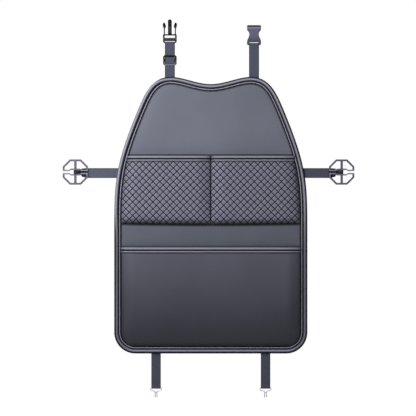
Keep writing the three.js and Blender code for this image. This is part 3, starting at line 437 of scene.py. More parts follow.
def math_node(tree, operation, place, *inputs):
    made = add_node(tree, "ShaderNodeMath", place, operation=operation)
    for socket, value in zip(made.inputs, inputs):
        if isinstance(value, bpy.types.NodeSocket):
            tree.links.new(value, socket)
        else:
            socket.default_value = value
    return made.outputs[0]


def mix_colours(tree, place, factor, first, second, blend="MIX"):
    made = add_node(tree, "ShaderNodeMix", place, data_type="RGBA", blend_type=blend)
    for name, value in (("Factor_Float", factor), ("A_Color", first), ("B_Color", second)):
        socket = next(s for s in made.inputs if s.identifier == name)
        if isinstance(value, bpy.types.NodeSocket):
            tree.links.new(value, socket)
        else:
            socket.default_value = (*value, 1) if hasattr(value, "__len__") else value
    return next(s for s in made.outputs if s.identifier == "Result_Color")


def map_range(tree, place, value, low, high, to_low=0.0, to_high=1.0, smooth=True):
    made = add_node(
        tree, "ShaderNodeMapRange", place, interpolation_type="SMOOTHSTEP" if smooth else "LINEAR"
    )
    tree.links.new(value, made.inputs["Value"])
    for name, number in (("From Min", low), ("From Max", high), ("To Min", to_low), ("To Max", to_high)):
        made.inputs[name].default_value = number
    return made.outputs["Result"]


def new_group(name, inputs, outputs):
    """A node group with float inputs (name: default) and outputs (name: socket type)"""
    tree = bpy.data.node_groups.new(name, "ShaderNodeTree")
    for label, default in inputs.items():
        socket = tree.interface.new_socket(label, in_out="INPUT", socket_type="NodeSocketFloat")
        socket.default_value = default
    for label, kind in outputs.items():
        tree.interface.new_socket(label, in_out="OUTPUT", socket_type=kind)
    start = add_node(tree, "NodeGroupInput", (-900, 0))
    end = add_node(tree, "NodeGroupOutput", (900, 0))
    return tree, start, end


def leather_grain_group():
    """Pebbled grain of artificial leather: its height, and a soft tone that drifts over the hide"""
    tree, start, end = new_group(
        "Leather Grain",
        {"Cells per Metre": 1100.0, "Drift per Metre": 7.0},
        {"Height": "NodeSocketFloat", "Tone": "NodeSocketFloat"},
    )
    place = add_node(tree, "ShaderNodeTexCoord", (-900, 300)).outputs["Object"]
    cells = add_node(tree, "ShaderNodeTexVoronoi", (-500, 300), feature="SMOOTH_F1")
    fine = add_node(tree, "ShaderNodeTexNoise", (-500, 0))
    drift = add_node(tree, "ShaderNodeTexNoise", (-500, -300))
    drift.inputs["Detail"].default_value = 3
    scales = ((cells, "Cells per Metre"), (fine, "Cells per Metre"), (drift, "Drift per Metre"))
    for texture, scale in scales:
        tree.links.new(place, texture.inputs["Vector"])
        tree.links.new(start.outputs[scale], texture.inputs["Scale"])
    height = math_node(
        tree, "MULTIPLY_ADD", (200, 200), fine.outputs["Fac"], 0.5, cells.outputs["Distance"]
    )
    tree.links.new(height, end.inputs["Height"])
    tree.links.new(map_range(tree, (200, -200), drift.outputs["Fac"], 0.3, 0.7), end.inputs["Tone"])
    return tree


def weave_group():
    """Ribbed webbing, drawn on the strap's own across and along: rib height, a mask of painted shade
    along its edges, and the painted shade that each strap carries"""
    tree, start, end = new_group(
        "Webbing Weave",
        {"Rib Pitch": 1.5 * MM, "Pick Pitch": 1.1 * MM, "Half Width": 12.5 * MM},
        {"Height": "NodeSocketFloat", "Edge Shade": "NodeSocketFloat", "Shade": "NodeSocketFloat"},
    )
    cloth = add_node(tree, "ShaderNodeAttribute", (-900, 300), attribute_name="cloth")
    split = add_node(tree, "ShaderNodeSeparateXYZ", (-700, 300))
    tree.links.new(cloth.outputs["Vector"], split.inputs[0])
    across, along = split.outputs[0], split.outputs[1]
    ribs = math_node(tree, "DIVIDE", (-500, 300), across, start.outputs["Rib Pitch"])
    picks = math_node(tree, "DIVIDE", (-500, 100), along, start.outputs["Pick Pitch"])
    rib = math_node(tree, "PINGPONG", (-300, 300), ribs, 0.5)
    parity = math_node(tree, "FLOOR", (-300, 0), ribs)
    shifted = math_node(tree, "MULTIPLY_ADD", (-100, 0), parity, 0.5, picks)
    pick = math_node(tree, "PINGPONG", (100, 0), shifted, 0.5)
    height = math_node(tree, "MULTIPLY", (300, 100), rib, pick)
    edge = math_node(tree, "ABSOLUTE", (-500, -300), across)
    share = math_node(tree, "DIVIDE", (-300, -300), edge, start.outputs["Half Width"])
    tree.links.new(math_node(tree, "MULTIPLY", (500, 100), height, 4.0), end.inputs["Height"])
    tree.links.new(map_range(tree, (0, -300), share, 0.76, 0.94), end.inputs["Edge Shade"])
    tree.links.new(split.outputs[2], end.inputs["Shade"])
    return tree


def moulding_group():
    """Fine spark texture of moulded plastic: its height, and faint flow marks"""
    tree, start, end = new_group(
        "Moulded Surface",
        {"Grain per Metre": 2600.0},
        {"Height": "NodeSocketFloat", "Marks": "NodeSocketFloat"},
    )
    place = add_node(tree, "ShaderNodeTexCoord", (-900, 300)).outputs["Object"]
    grain = add_node(tree, "ShaderNodeTexNoise", (-500, 200))
    marks = add_node(tree, "ShaderNodeTexNoise", (-500, -200))
    marks.inputs["Scale"].default_value = 120
    marks.inputs["Detail"].default_value = 4
    tree.links.new(start.outputs["Grain per Metre"], grain.inputs["Scale"])
    for texture in (grain, marks):
        tree.links.new(place, texture.inputs["Vector"])
    tree.links.new(grain.outputs["Fac"], end.inputs["Height"])
    tree.links.new(map_range(tree, (100, -200), marks.outputs["Fac"], 0.35, 0.65), end.inputs["Marks"])
    return tree


def height_band_group():
    """Mask of a level band between two heights, with soft edges"""
    tree, start, end = new_group(
        "Height Band", {"Low": 0.0, "High": 1.0, "Softness": 1 * MM}, {"Mask": "NodeSocketFloat"}
    )
    height = height_socket(tree)
    sides = []
    for i, (edge, order) in enumerate((("Low", (0, 1)), ("High", (1, 0)))):
        pair = (height, start.outputs[edge])
        over = math_node(tree, "SUBTRACT", (-500, -200 * i), pair[order[0]], pair[order[1]])
        share = math_node(tree, "DIVIDE", (-300, -200 * i), over, start.outputs["Softness"])
        sides.append(map_range(tree, (-100, -200 * i), share, -0.5, 0.5))
    tree.links.new(math_node(tree, "MINIMUM", (200, 0), *sides), end.inputs["Mask"])
    return tree


def rounded_edge_group():
    """Where a moulding turns over an edge: a mask of the turn, and the normal rounded over it"""
    tree, start, end = new_group(
        "Rounded Edge", {"Radius": 1 * MM}, {"Edge": "NodeSocketFloat", "Normal": "NodeSocketVector"}
    )
    rounded = add_node(tree, "ShaderNodeBevel", (-500, 0), samples=8)
    tree.links.new(start.outputs["Radius"], rounded.inputs["Radius"])
    flat = add_node(tree, "ShaderNodeNewGeometry", (-500, 300))
    turn = add_node(tree, "ShaderNodeVectorMath", (-250, 150), operation="DOT_PRODUCT")
    tree.links.new(rounded.outputs["Normal"], turn.inputs[0])
    tree.links.new(flat.outputs["Normal"], turn.inputs[1])
    tree.links.new(map_range(tree, (0, 150), turn.outputs["Value"], 0.995, 0.8), end.inputs["Edge"])
    tree.links.new(rounded.outputs["Normal"], end.inputs["Normal"])
    return tree


def group_named(name, maker):
    return bpy.data.node_groups.get(name) or maker()


def place_group(tree, name, maker, place, **values):
    made = add_node(tree, "ShaderNodeGroup", place)
    made.node_tree = group_named(name, maker)
    for key, value in values.items():
        made.inputs[key.replace("_", " ")].default_value = value
    return made


def new_material(name, base, roughness, specular=0.3, metallic=0.0):
    """A material with its Principled shader, ready for the finish"""
    material = bpy.data.materials.new(name)
    material.use_nodes = True
    material.diffuse_color = (*base, 1)
    shader = material.node_tree.nodes["Principled BSDF"]
    shader.inputs["Base Color"].default_value = (*base, 1)
    shader.inputs["Roughness"].default_value = roughness
    shader.inputs["Specular IOR Level"].default_value = specular
    shader.inputs["Metallic"].default_value = metallic
    return material, material.node_tree, shader


def bump(tree, shader, height, distance, strength=1.0, normal=None):
    made = add_node(tree, "ShaderNodeBump", (-200, -400))
    if normal:
        tree.links.new(normal, made.inputs["Normal"])
    made.inputs["Distance"].default_value = distance
    made.inputs["Strength"].default_value = strength
    tree.links.new(height, made.inputs["Height"])
    tree.links.new(made.outputs["Normal"], shader.inputs["Normal"])


def leather(name, base, roughness, seam, tint, specular):
    """Artificial leather. tint(tree, grain) gives the colour socket that the grain then shades. The
    points' fade number paints shade on it towards its seams."""
    found = bpy.data.materials.get(name)
    if found:
        return found
    material, tree, shader = new_material(name, base, roughness, specular)
    grain = place_group(tree, "Leather Grain", leather_grain_group, (-900, -300))
    fade = add_node(tree, "ShaderNodeAttribute", (-500, 0), attribute_name="fade")
    toned = mix_colours(tree, (-400, 200), fade.outputs["Fac"], tint(tree, grain), seam)
    shade = map_range(tree, (-500, -200), grain.outputs["Height"], 0.2, 0.9, 0.0, 0.12)
    tree.links.new(mix_colours(tree, (-250, 100), shade, toned, (0, 0, 0)), shader.inputs["Base Color"])
    rough = map_range(tree, (-500, -500), grain.outputs["Tone"], 0, 1, roughness - 0.05, roughness + 0.05)
    tree.links.new(rough, shader.inputs["Roughness"])
    bump(tree, shader, grain.outputs["Height"], 0.12 * MM, 0.6)
    return material


def height_socket(tree, axis=2):
    place = add_node(tree, "ShaderNodeTexCoord", (-1500, 300))
    split = add_node(tree, "ShaderNodeSeparateXYZ", (-1300, 300))
    tree.links.new(place.outputs["Object"], split.inputs[0])
    return split.outputs[axis]


def face_leather(colours):
    def tint(tree, grain):
        height = height_socket(tree)
        # Painted shade: the face is painted darker downwards, from its top into the middle strip's colour.
        strip = map_range(tree, (-1100, 300), height, 40 * MM, -40 * MM)
        base = mix_colours(tree, (-800, 300), strip, colours.face, colours.strip)
        faint = map_range(tree, (-700, 0), grain.outputs["Tone"], 0, 1, 0.0, 0.08)
        base = mix_colours(tree, (-500, 200), faint, base, (0, 0, 0))
        # Painted shadows: a dark line under the upper pockets' seam, and dark lines just over each
        # pocket's mouth.
        bow = math_node(tree, "MULTIPLY", (-1100, 700), height_socket(tree, 0), height_socket(tree, 0))
        share = UPPER_SAG / float(half_width(BORDER, UPPER_SEAM)) ** 2
        seam = math_node(tree, "MULTIPLY_ADD", (-900, 700), bow, share, UPPER_SEAM - UPPER_SAG)
        under = math_node(tree, "SUBTRACT", (-700, 700), seam, height)
        below = map_range(tree, (-500, 700), under, 6 * MM, 1.5 * MM, 0, 0.85)
        behind = map_range(tree, (-500, 500), under, -60 * MM, -30 * MM)
        upper = mouth_shade(tree, UPPER_MOUTH, (-700, 900))
        upper = math_node(tree, "MULTIPLY", (-500, 900), upper, 0.75)
        lower = mouth_shade(tree, LOWER_MOUTH, (-700, 1100))
        lower = math_node(tree, "MULTIPLY", (-500, 1100), lower, 0.5)
        dark = math_node(tree, "MAXIMUM", (-300, 900), upper, lower)
        dark = math_node(
            tree, "MAXIMUM", (-100, 700), dark, math_node(tree, "MULTIPLY", (-300, 600), below, behind)
        )
        return mix_colours(tree, (-200, 300), dark, base, colours.seam)

    return leather("Face Leather", colours.face, 0.52, colours.seam, tint, specular=0.15)


def mouth_shade(tree, mouth, place):
    """Painted shadow: the dark line on the face just over a pocket's mouth"""
    made = place_group(
        tree, "Height Band", height_band_group, place, Low=mouth, High=mouth + 2.6 * MM, Softness=1.4 * MM
    )
    return made.outputs["Mask"]


def pocket_leather(colours):
    def tint(tree, grain):
        # Painted shade: darker from the hem down to the floor.
        shade_drop = map_range(
            tree, (-1100, 300), height_socket(tree), LOWER_HEM_BOTTOM, POCKET_FLOOR, smooth=False
        )
        base = mix_colours(tree, (-800, 300), shade_drop, colours.pocket_high, colours.pocket_low_shaded)
        faint = map_range(tree, (-700, 0), grain.outputs["Tone"], 0, 1, 0.0, 0.08)
        return mix_colours(tree, (-500, 200), faint, base, (0, 0, 0))

    return leather("Pocket Leather", colours.pocket_high, 0.5, colours.seam, tint, specular=0.12)


def quilted_leather(colours, sizes):
    """Leather whose stitched grooves run on two diagonals, with the thread sunk in them"""

    def tint(tree, grain):
        across = height_socket(tree, 0)
        right = math_node(tree, "GREATER_THAN", (-1700, 700), across, 0.0)
        offset = math_node(
            tree, "MULTIPLY_ADD", (-1500, 700), right, QUILT_OFFSET_RIGHT - QUILT_OFFSET_LEFT,
            QUILT_OFFSET_LEFT,
        )
        reach = math_node(tree, "ABSOLUTE", (-1500, 500), across)
        x = math_node(tree, "SUBTRACT", (-1300, 500), reach, offset)
        rise = math_node(tree, "SUBTRACT", (-1300, 0), height_socket(tree, 2), QUILT_TOP)
        lines = []
        for operation, place in (("ADD", 500), ("SUBTRACT", 100)):
            run = math_node(tree, operation, (-1200, place), x, rise)
            lines.append(math_node(tree, "DIVIDE", (-1050, place), run, sizes.quilt_pitch))
        sides = [
            math_node(tree, "PINGPONG", (-900, 400 - 200 * i), line, 0.5) for i, line in enumerate(lines)
        ]
        nearest = math_node(tree, "MINIMUM", (-750, 300), *sides)
        # Painted shade: dark in the stitched grooves, and darker in the middle of each pad so that its rim
        # looks lit.
        groove_shade = map_range(tree, (-600, 300), nearest, 0.075, 0.14, 1.0, 0.0)
        middle = map_range(tree, (-600, 500), nearest, 0.16, 0.36, 0.0, 0.3)
        pad = mix_colours(tree, (-500, 500), middle, colours.quilt, (0.02, 0.02, 0.03))
        base = mix_colours(tree, (-450, 300), groove_shade, pad, colours.groove_shade)
        dashes = []
        for line, other in ((0, 1), (1, 0)):
            step = math_node(tree, "MULTIPLY", (-900, -600 - 200 * line), lines[other], 4.0)
            dash = math_node(tree, "PINGPONG", (-750, -600 - 200 * line), step, 0.5)
            on = math_node(tree, "GREATER_THAN", (-600, -600 - 200 * line), dash, 0.13)
            thin = math_node(tree, "LESS_THAN", (-600, -700 - 200 * line), sides[line], 0.024)
            dashes.append(math_node(tree, "MULTIPLY", (-450, -600 - 200 * line), on, thin))
        thread = math_node(tree, "MAXIMUM", (-300, -600), *dashes)
        return mix_colours(tree, (-300, 300), thread, base, colours.thread)

    return leather("Quilted Leather", colours.quilt, 0.45, colours.seam, tint, specular=0.12)


def trim_leather(colours):
    """Leather stretched over a bead, with a painted highlight on its crown and painted shade on its flanks
    """

    def tint(tree, grain):
        crown = add_node(tree, "ShaderNodeAttribute", (-1100, 300), attribute_name="crown")
        # The grain's tone makes the painted highlight a little patchy.
        highlight_patchiness = map_range(tree, (-900, 0), grain.outputs["Tone"], 0, 1, 0.92, 1.0)
        share = math_node(tree, "MULTIPLY", (-700, 200), crown.outputs["Fac"], highlight_patchiness)
        return mix_colours(tree, (-500, 300), share, colours.trim_shade, colours.trim)

    return leather("Trim Leather", colours.trim, 0.5, colours.seam, tint, specular=0.08)


def webbing_material(colours):
    found = bpy.data.materials.get("Webbing")
    if found:
        return found
    material, tree, shader = new_material("Webbing", colours.webbing, 0.75, 0.2)
    weave = place_group(tree, "Webbing Weave", weave_group, (-900, 0))
    # Painted shade in the hollows of the weave, along the strap's edges, and each strap's own painted
    # shade.
    hollow = map_range(tree, (-600, 200), weave.outputs["Height"], 0.0, 0.7, 0.55, 0.0)
    base = mix_colours(tree, (-400, 300), hollow, colours.webbing, colours.webbing_shade)
    edge = math_node(tree, "MULTIPLY", (-600, -100), weave.outputs["Edge Shade"], 0.8)
    dark = math_node(tree, "MAXIMUM", (-400, -100), edge, weave.outputs["Shade"])
    shaded = mix_colours(tree, (-200, 200), dark, base, colours.webbing_shade)
    tree.links.new(shaded, shader.inputs["Base Color"])
    bump(tree, shader, weave.outputs["Height"], 0.25 * MM, 0.8)
    return material


def lining_material(colours):
    found = bpy.data.materials.get("Lining")
    if found:
        return found
    material, tree, shader = new_material("Lining", colours.lining, 0.95, 0.1)
    place = add_node(tree, "ShaderNodeTexCoord", (-1000, 0))
    fibres = add_node(tree, "ShaderNodeTexNoise", (-800, 0), noise_type="RIDGED_MULTIFRACTAL")
    fibres.inputs["Scale"].default_value = 420
    fibres.inputs["Detail"].default_value = 5
    tree.links.new(place.outputs["Object"], fibres.inputs["Vector"])
    light = map_range(tree, (-600, 100), fibres.outputs["Fac"], 0.2, 0.9, 0.0, 0.4)
    cloth = mix_colours(tree, (-300, 100), light, colours.lining, colours.fibre)
    tree.links.new(cloth, shader.inputs["Base Color"])
    bump(tree, shader, fibres.outputs["Fac"], 0.3 * MM, 0.7)
    return material


def thread_material(colours):
    found = bpy.data.materials.get("Thread")
    if found:
        return found
    material, tree, shader = new_material("Thread", colours.thread, 0.6, 0.3)
    twist = add_node(tree, "ShaderNodeTexNoise", (-700, 0))
    twist.inputs["Scale"].default_value = 900
    light = map_range(tree, (-450, 0), twist.outputs["Fac"], 0.35, 0.65, 0.0, 0.35)
    tree.links.new(
        mix_colours(tree, (-200, 100), light, colours.thread, (0.06, 0.06, 0.08)),
        shader.inputs["Base Color"],
    )
    return material


def plastic(name, base, roughness, specular, rim, bands=()):
    """Moulded plastic. rim is the colour and depth of the painted shade on its edges. bands are (low,
    high, softness, colour) for parts between two heights."""
    found = bpy.data.materials.get(name)
    if found:
        return found
    material, tree, shader = new_material(name, base, roughness, specular)
    surface = place_group(tree, "Moulded Surface", moulding_group, (-900, 0))
    light = map_range(tree, (-600, 200), surface.outputs["Marks"], 0, 1, 0.0, 0.12)
    lifted = tuple(min(1, 1.6 * c + 0.01) for c in base)
    tone = mix_colours(tree, (-500, 200), light, base, lifted)
    for i, (low, high, softness, paint) in enumerate(bands):
        made = place_group(
            tree, "Height Band", height_band_group, (-700, 500 + 200 * i), Low=low, High=high,
            Softness=softness,
        )
        tone = mix_colours(tree, (-300, 300 + 200 * i), made.outputs["Mask"], tone, paint)
    # Painted shade where the moulding turns over its edges.
    colour, depth = rim
    turn = place_group(tree, "Rounded Edge", rounded_edge_group, (-900, -500), Radius=1.3 * MM)
    share = math_node(tree, "MULTIPLY", (-500, -300), turn.outputs["Edge"], depth)
    tree.links.new(mix_colours(tree, (-100, 100), share, tone, colour), shader.inputs["Base Color"])
    marks = surface.outputs["Marks"]
    rough = map_range(tree, (-600, -100), marks, 0, 1, roughness - 0.05, roughness + 0.06)
    tree.links.new(rough, shader.inputs["Roughness"])
    bump(tree, shader, surface.outputs["Height"], 0.05 * MM, 0.6, turn.outputs["Normal"])
    return material


def wire_material(colours):
    found = bpy.data.materials.get("Plated Wire")
    if found:
        return found
    material, tree, shader = new_material("Plated Wire", colours.wire, 0.18, 0.5, 1.0)
    surface = place_group(tree, "Moulded Surface", moulding_group, (-900, 0), Grain_per_Metre=1500.0)
    rough = map_range(tree, (-500, 0), surface.outputs["Marks"], 0, 1, 0.12, 0.3)
    tree.links.new(rough, shader.inputs["Roughness"])
    dull = map_range(tree, (-500, 250), surface.outputs["Marks"], 0, 1, 0.0, 0.2)
    tree.links.new(
        mix_colours(tree, (-250, 250), dull, colours.wire, (0.25, 0.25, 0.26)),
        shader.inputs["Base Color"],
    )
    return material


# Padded panel


def filled(loop, rings, spacing):
    """Triangles that fill a loop, closer together near its edge"""
    loops = [loop] + [inset(loop, distance) for distance in rings]
    x = np.arange(loop[:, 0].min(), loop[:, 0].max(), spacing)
    z = np.arange(loop[:, 1].min(), loop[:, 1].max(), spacing)
    lattice = np.stack(np.meshgrid(x, z), axis=-1).reshape(-1, 2)
    core = inset(loop, rings[-1] + spacing * 0.6)
    points = np.vstack([*loops, lattice[inside(core, lattice)]])
    count = len(loop)
    edges = [(i, (i + 1) % count) for i in range(count)]
    found, _, faces, *_ = delaunay_2d_cdt([Vector(p) for p in points], edges, [], 1, 1e-7)
    return np.array([tuple(p) for p in found]), [tuple(f) for f in faces]


def face_level(points, sizes):
    """Y of the leather face: crowned between its seams, with small gathers along its edge"""
    depth = distance_to(BORDER, points)
    depth[~inside(BORDER, points)] = 0
    z = points[:, 1]
    above = roll(z - UPPER_MOUTH - 3 * MM, 26 * MM)
    strip = 0.55 * roll(UPPER_SEAM - UPPER_SAG - z, 12 * MM) * roll(z - LOWER_MOUTH, 12 * MM)
    crown = sizes.face_crown * roll(depth, 24 * MM) * np.maximum(above, strip)
    gathers = np.array([noise.noise(Vector((p[0] / 0.011, p[1] / 0.011, 0.3))) for p in points])
    shallow = np.exp(-depth / (10 * MM)) * (depth > 0) * np.maximum(above, strip)
    return FACE_FRONT - crown - sizes.pucker_depth * gathers * shallow


class ORGANIZER_OT_padded_panel(bpy.types.Operator):
    """Build the padded leather face and the back lining"""

    bl_idname = "organizer.padded_panel"
    bl_label = "Padded Panel"

    def execute(self, context):
        sizes, colours = context.scene.organizer_sizes, context.scene.organizer_colours
        edge = inset(OUTLINE, LAYER_INSET)
        rings = (4, 8, 11, 12.4, 13.8, 15, 17.5, 21, 26, 32)
        flat, faces = filled(edge, [d * MM for d in rings], 9 * MM)
        if len(flat) < len(edge):
            raise RuntimeError("the panel's face could not be filled")
        count = len(flat)
        front = np.column_stack([flat[:, 0], face_level(flat, sizes), flat[:, 1]])
        back = np.column_stack([flat[:, 0], np.full(count, CORE_BACK), flat[:, 1]])
        rim = boundary(faces)
        sides = [(b, a, a + count, b + count) for a, b in rim]
        # Painted shade: a dark line on the face just inside the piping.
        fade = np.tile(near(distance_to(OUTLINE, flat) - BORDER_INSET - 1.3 * MM, 4 * MM), 2)
        whole = faces + [tuple(i + count for i in reversed(f)) for f in faces] + sides
        pad = make_piece(
            "padded_face", np.vstack([front, back]), whole, face_leather(colours), "panel",
            ["face_panel", "foam_core"], {"fade": fade},
        )

        edge = inset(OUTLINE, BINDING_WIDTH - 1.5 * MM)
        flat, faces = filled(edge, [d * MM for d in (4, 9, 16)], 14 * MM)
        level = np.full(len(flat), -0.15 * MM)
        points = np.column_stack([flat[:, 0], level, flat[:, 1]])
        sheet = make_piece(
            "lining_sheet", points, faces, lining_material(colours), "panel",
            ["back_lining"], facing=(0, 1, 0),
        )
        thicken(sheet, LINING_THICKNESS - 0.15 * MM)
        return {"FINISHED"}


def boundary(faces):
    """Edges that only one face uses, in that face's direction"""
    used = {(f[i], f[(i + 1) % len(f)]) for f in faces for i in range(len(f))}
    return [(a, b) for a, b in used if (b, a) not in used]


# Binding and piping


def edge_highlight_strength(upward):
    """Strength of the painted highlight on the rolled edge round the panel: least on the lower half of its
    sides
    """
    low = near(OUTLINE[:, 1] + 100 * MM, 160 * MM)
    return 1 - 0.5 * low * (1 - 0.78 * np.clip(-upward, 0, 1) ** 4)


class ORGANIZER_OT_edging(bpy.types.Operator):
    """Build the rolled binding round the edge and the piping inside it"""

    bl_idname = "organizer.edging"
    bl_label = "Binding and Piping"

    def execute(self, context):
        material = trim_leather(context.scene.organizer_colours)
        w = BINDING_WIDTH
        corners = [
            (w, -0.02 * MM), (0.55 * w, 0), (0.22 * w, 0), (0.02 * w, -1.2 * MM), (-0.01 * w, -3.6 * MM),
            (0, -6.2 * MM), (0.12 * w, -8.2 * MM), (0.34 * w, BINDING_CROWN - 0.15 * MM),
            (0.6 * w, BINDING_CROWN), (0.85 * w, -8.6 * MM), (w, -7.6 * MM), (w, -6.45 * MM),
            (0.7 * w, -6.42 * MM), (0.5 * w, -5 * MM), (0.5 * w, -2.6 * MM), (w, -0.9 * MM),
        ]
        profile = smooth_profile(corners, 44)
        points = swept_loop(OUTLINE, profile)
        across, level = profile[:, 0], profile[:, 1]
        leftward, upward = inward(OUTLINE)[:, 0], -inward(OUTLINE)[:, 1]
        # Painted highlight: its band sits higher up the roll where light comes from above, further out and
        # brighter on the upper left side that takes the light from the left, and fainter on the back.
        lit_left_side = near(OUTLINE[:, 0] + 150 * MM, 40 * MM) * (1 - near(OUTLINE[:, 1] + 60 * MM, 80 * MM))
        lit_left_side = lit_left_side[:, None]
        front = np.where(level < -5 * MM, 1.0, 0.35 + 0.22 * lit_left_side)
        crest = 6.5 * MM - 0.9 * MM * upward[:, None] - 2.2 * MM * lit_left_side
        rolled = np.where(across < crest, 2 * MM + 1.6 * MM * lit_left_side, 2.2 * MM)
        highlight_strength = edge_highlight_strength(upward)
        crown = band(across, crest, rolled) * front * highlight_strength[:, None]
        make_piece(
            "rolled_binding", points, grid_faces(len(OUTLINE), len(profile), True, True), material,
            "panel", ["edge_binding"], {"crown": crown.ravel()},
        )

        turn = np.linspace(0, 2 * math.pi, 18, endpoint=False)
        middle = w + PIPING_GROOVE + PIPING_WIDTH / 2
        radius = PIPING_WIDTH / 2
        cord = np.column_stack([
            middle + radius * np.cos(turn), WALL_BACK - PIPING_HEIGHT / 2 - radius * np.sin(turn),
        ])
        points = swept_loop(OUTLINE, cord)
        # Painted highlight on the cord, turned towards the light from above and the left.
        peak = math.pi / 2 - 0.3 * (1 - np.abs(leftward)) + 0.35 * upward + 0.24 * leftward
        crown = np.clip(np.cos(turn - peak[:, None]), 0, 1) ** 4 * highlight_strength[:, None] ** 0.6
        crown = np.clip(1.22 * crown, 0, 1)
        make_piece(
            "piping_cord", points, grid_faces(len(OUTLINE), len(cord), True, True), material,
            "panel", ["inner_piping"], {"crown": crown.ravel()},
        )
        return {"FINISHED"}


# Upper pockets


# Height of the top row of stitched crossings
QUILT_TOP = UPPER_HEM_BOTTOM - SEAM_GAP + QUILT_RISE


def upper_seam(x):
    share = np.clip(x / half_width(BORDER, UPPER_SEAM), 0, 1)
    return UPPER_SEAM - UPPER_SAG * (1 - share**2)


def upper_fullness(x, z):
    side = half_width(BORDER, np.maximum(z, UPPER_SEAM))
    rise = z - upper_seam(x)
    bottom = 0.6 * roll(rise, UPPER_BOTTOM_ROLL) + 0.4 * tuck(rise, 16 * MM)
    return UPPER_FULLNESS * roll(x, UPPER_SIDE_ROLL) * roll(side - x, UPPER_SIDE_ROLL) * bottom


def quilted_wall(sizes, crossing, side_shade):
    """The right pocket's wall: a lattice on the two stitching diagonals through one crossing,
    trimmed to the seams. The last argument is how much shade is painted on the leather where it
    rolls to its side."""
    pitch, top = sizes.quilt_pitch, QUILT_TOP
    parts = 8
    within = (1 - np.cos(math.pi * np.arange(parts) / parts)) / 2
    cells = math.ceil((PANEL_WIDTH / 2 + UPPER_MOUTH - UPPER_SEAM) / pitch) + 1
    steps = (np.arange(-cells, cells)[:, None] + within).ravel()
    p, q = np.meshgrid(steps, steps, indexing="ij")
    x, z = crossing + (p + q) * pitch / 2, top + (p - q) * pitch / 2
    low_x, high_z = SEAM_GAP / 2, UPPER_HEM_BOTTOM + 1.5 * MM
    side = half_width(BORDER, np.maximum(z, UPPER_SEAM - UPPER_SAG))
    outside = (x < low_x) | (x > side) | (z > high_z) | (z < upper_seam(x))
    x, z = np.maximum(x, low_x), np.minimum(z, high_z)
    z = np.maximum(z, upper_seam(x))
    x = np.minimum(x, half_width(BORDER, z))
    pad = np.sqrt(np.clip(4 * (p % 1) * (1 - p % 1), 0, 1) * np.clip(4 * (q % 1) * (1 - q % 1), 0, 1))
    edge = np.minimum.reduce([x - low_x, half_width(BORDER, z) - x, z - upper_seam(x)])
    relief = sizes.quilt_relief * pad**0.8 * roll(edge, 5 * MM)
    y = WALL_BACK - upper_fullness(x, z) - POCKET_WALL * roll(edge + 1 * MM, 4 * MM) - relief
    count = len(steps)
    faces = [
        f for f in grid_faces(count, count)
        if not all(outside.flat[i] for i in f)
    ]
    side, rise = half_width(BORDER, z) - x, z - upper_seam(x)
    # Painted shade on the wall: under its bottom seam, along its sides, at the middle seam and under the
    # hem.
    fade = np.maximum.reduce([
        0.9 * near(rise, 3 * MM),
        0.85 * near(rise, 20 * MM),
        near(side - 1.3 * MM, 4 * MM),
        side_shade * near(side, 18 * MM),
        0.85 * near(x - low_x, 2 * MM),
        0.5 * near(UPPER_HEM_BOTTOM - z, 2 * MM),
    ])
    return np.stack([x, y, z], axis=-1).reshape(-1, 3), faces, {"fade": fade.ravel()}


HEM_CORNERS = [
    (0, -0.3), (0, 0.75), (0.03, 1.0), (0.07, 0.5), (0.11, 0.5), (0.15, 1.15), (0.2, 1.45), (0.3, 1.45),
    (0.36, 1.1), (0.4, 0.45), (0.49, 0.4), (0.53, 1.1), (0.58, 1.9), (0.68, 2.4), (0.82, 2.35),
    (0.93, 1.7), (0.99, 0.9), (0.97, 0.1), (0.8, -0.2), (0.4, -0.3),
]


def hem(starts, ends, bottom, fullness, spacing, corners):
    """A folded hem between two side lines. Its profile rises from the bottom and stands proud."""
    profile = smooth_profile([(rise * HEM_HEIGHT, proud * POCKET_WALL) for rise, proud in corners], 72)
    heights = bottom + profile[:, 0]
    first, last = starts(heights), ends(heights)
    stations = max(2, round(float(last.max() - first.min()) / spacing))
    rows = []
    for share in np.linspace(0, 1, stations):
        x = first + (last - first) * share
        rows.append(np.column_stack([x, WALL_BACK - fullness(x) - profile[:, 1], heights]))
    points = np.vstack(rows)
    count = len(profile)
    faces = grid_faces(stations, count, close_columns=True)
    faces += [tuple(range(count)), tuple(range((stations - 1) * count, stations * count))]
    # Painted highlights on the bead and on the fold, and painted shade towards the hem's ends.
    rise = profile[:, 0] / HEM_HEIGHT
    bead = 0.82 * np.exp(-(((rise - 0.735) / 0.165) ** 4))
    fold = band(rise, 0.26, 0.08)
    crown = np.tile(np.maximum(bead, fold) * (profile[:, 1] > 0), stations)
    run = np.minimum(points[:, 0] - first.min(), last.max() - points[:, 0])
    return points, faces, {"crown": crown * (1 - 0.45 * near(run, 13 * MM) - 0.45 * near(run, 2.5 * MM))}


def mirrored(points):
    return points * (-1, 1, 1)


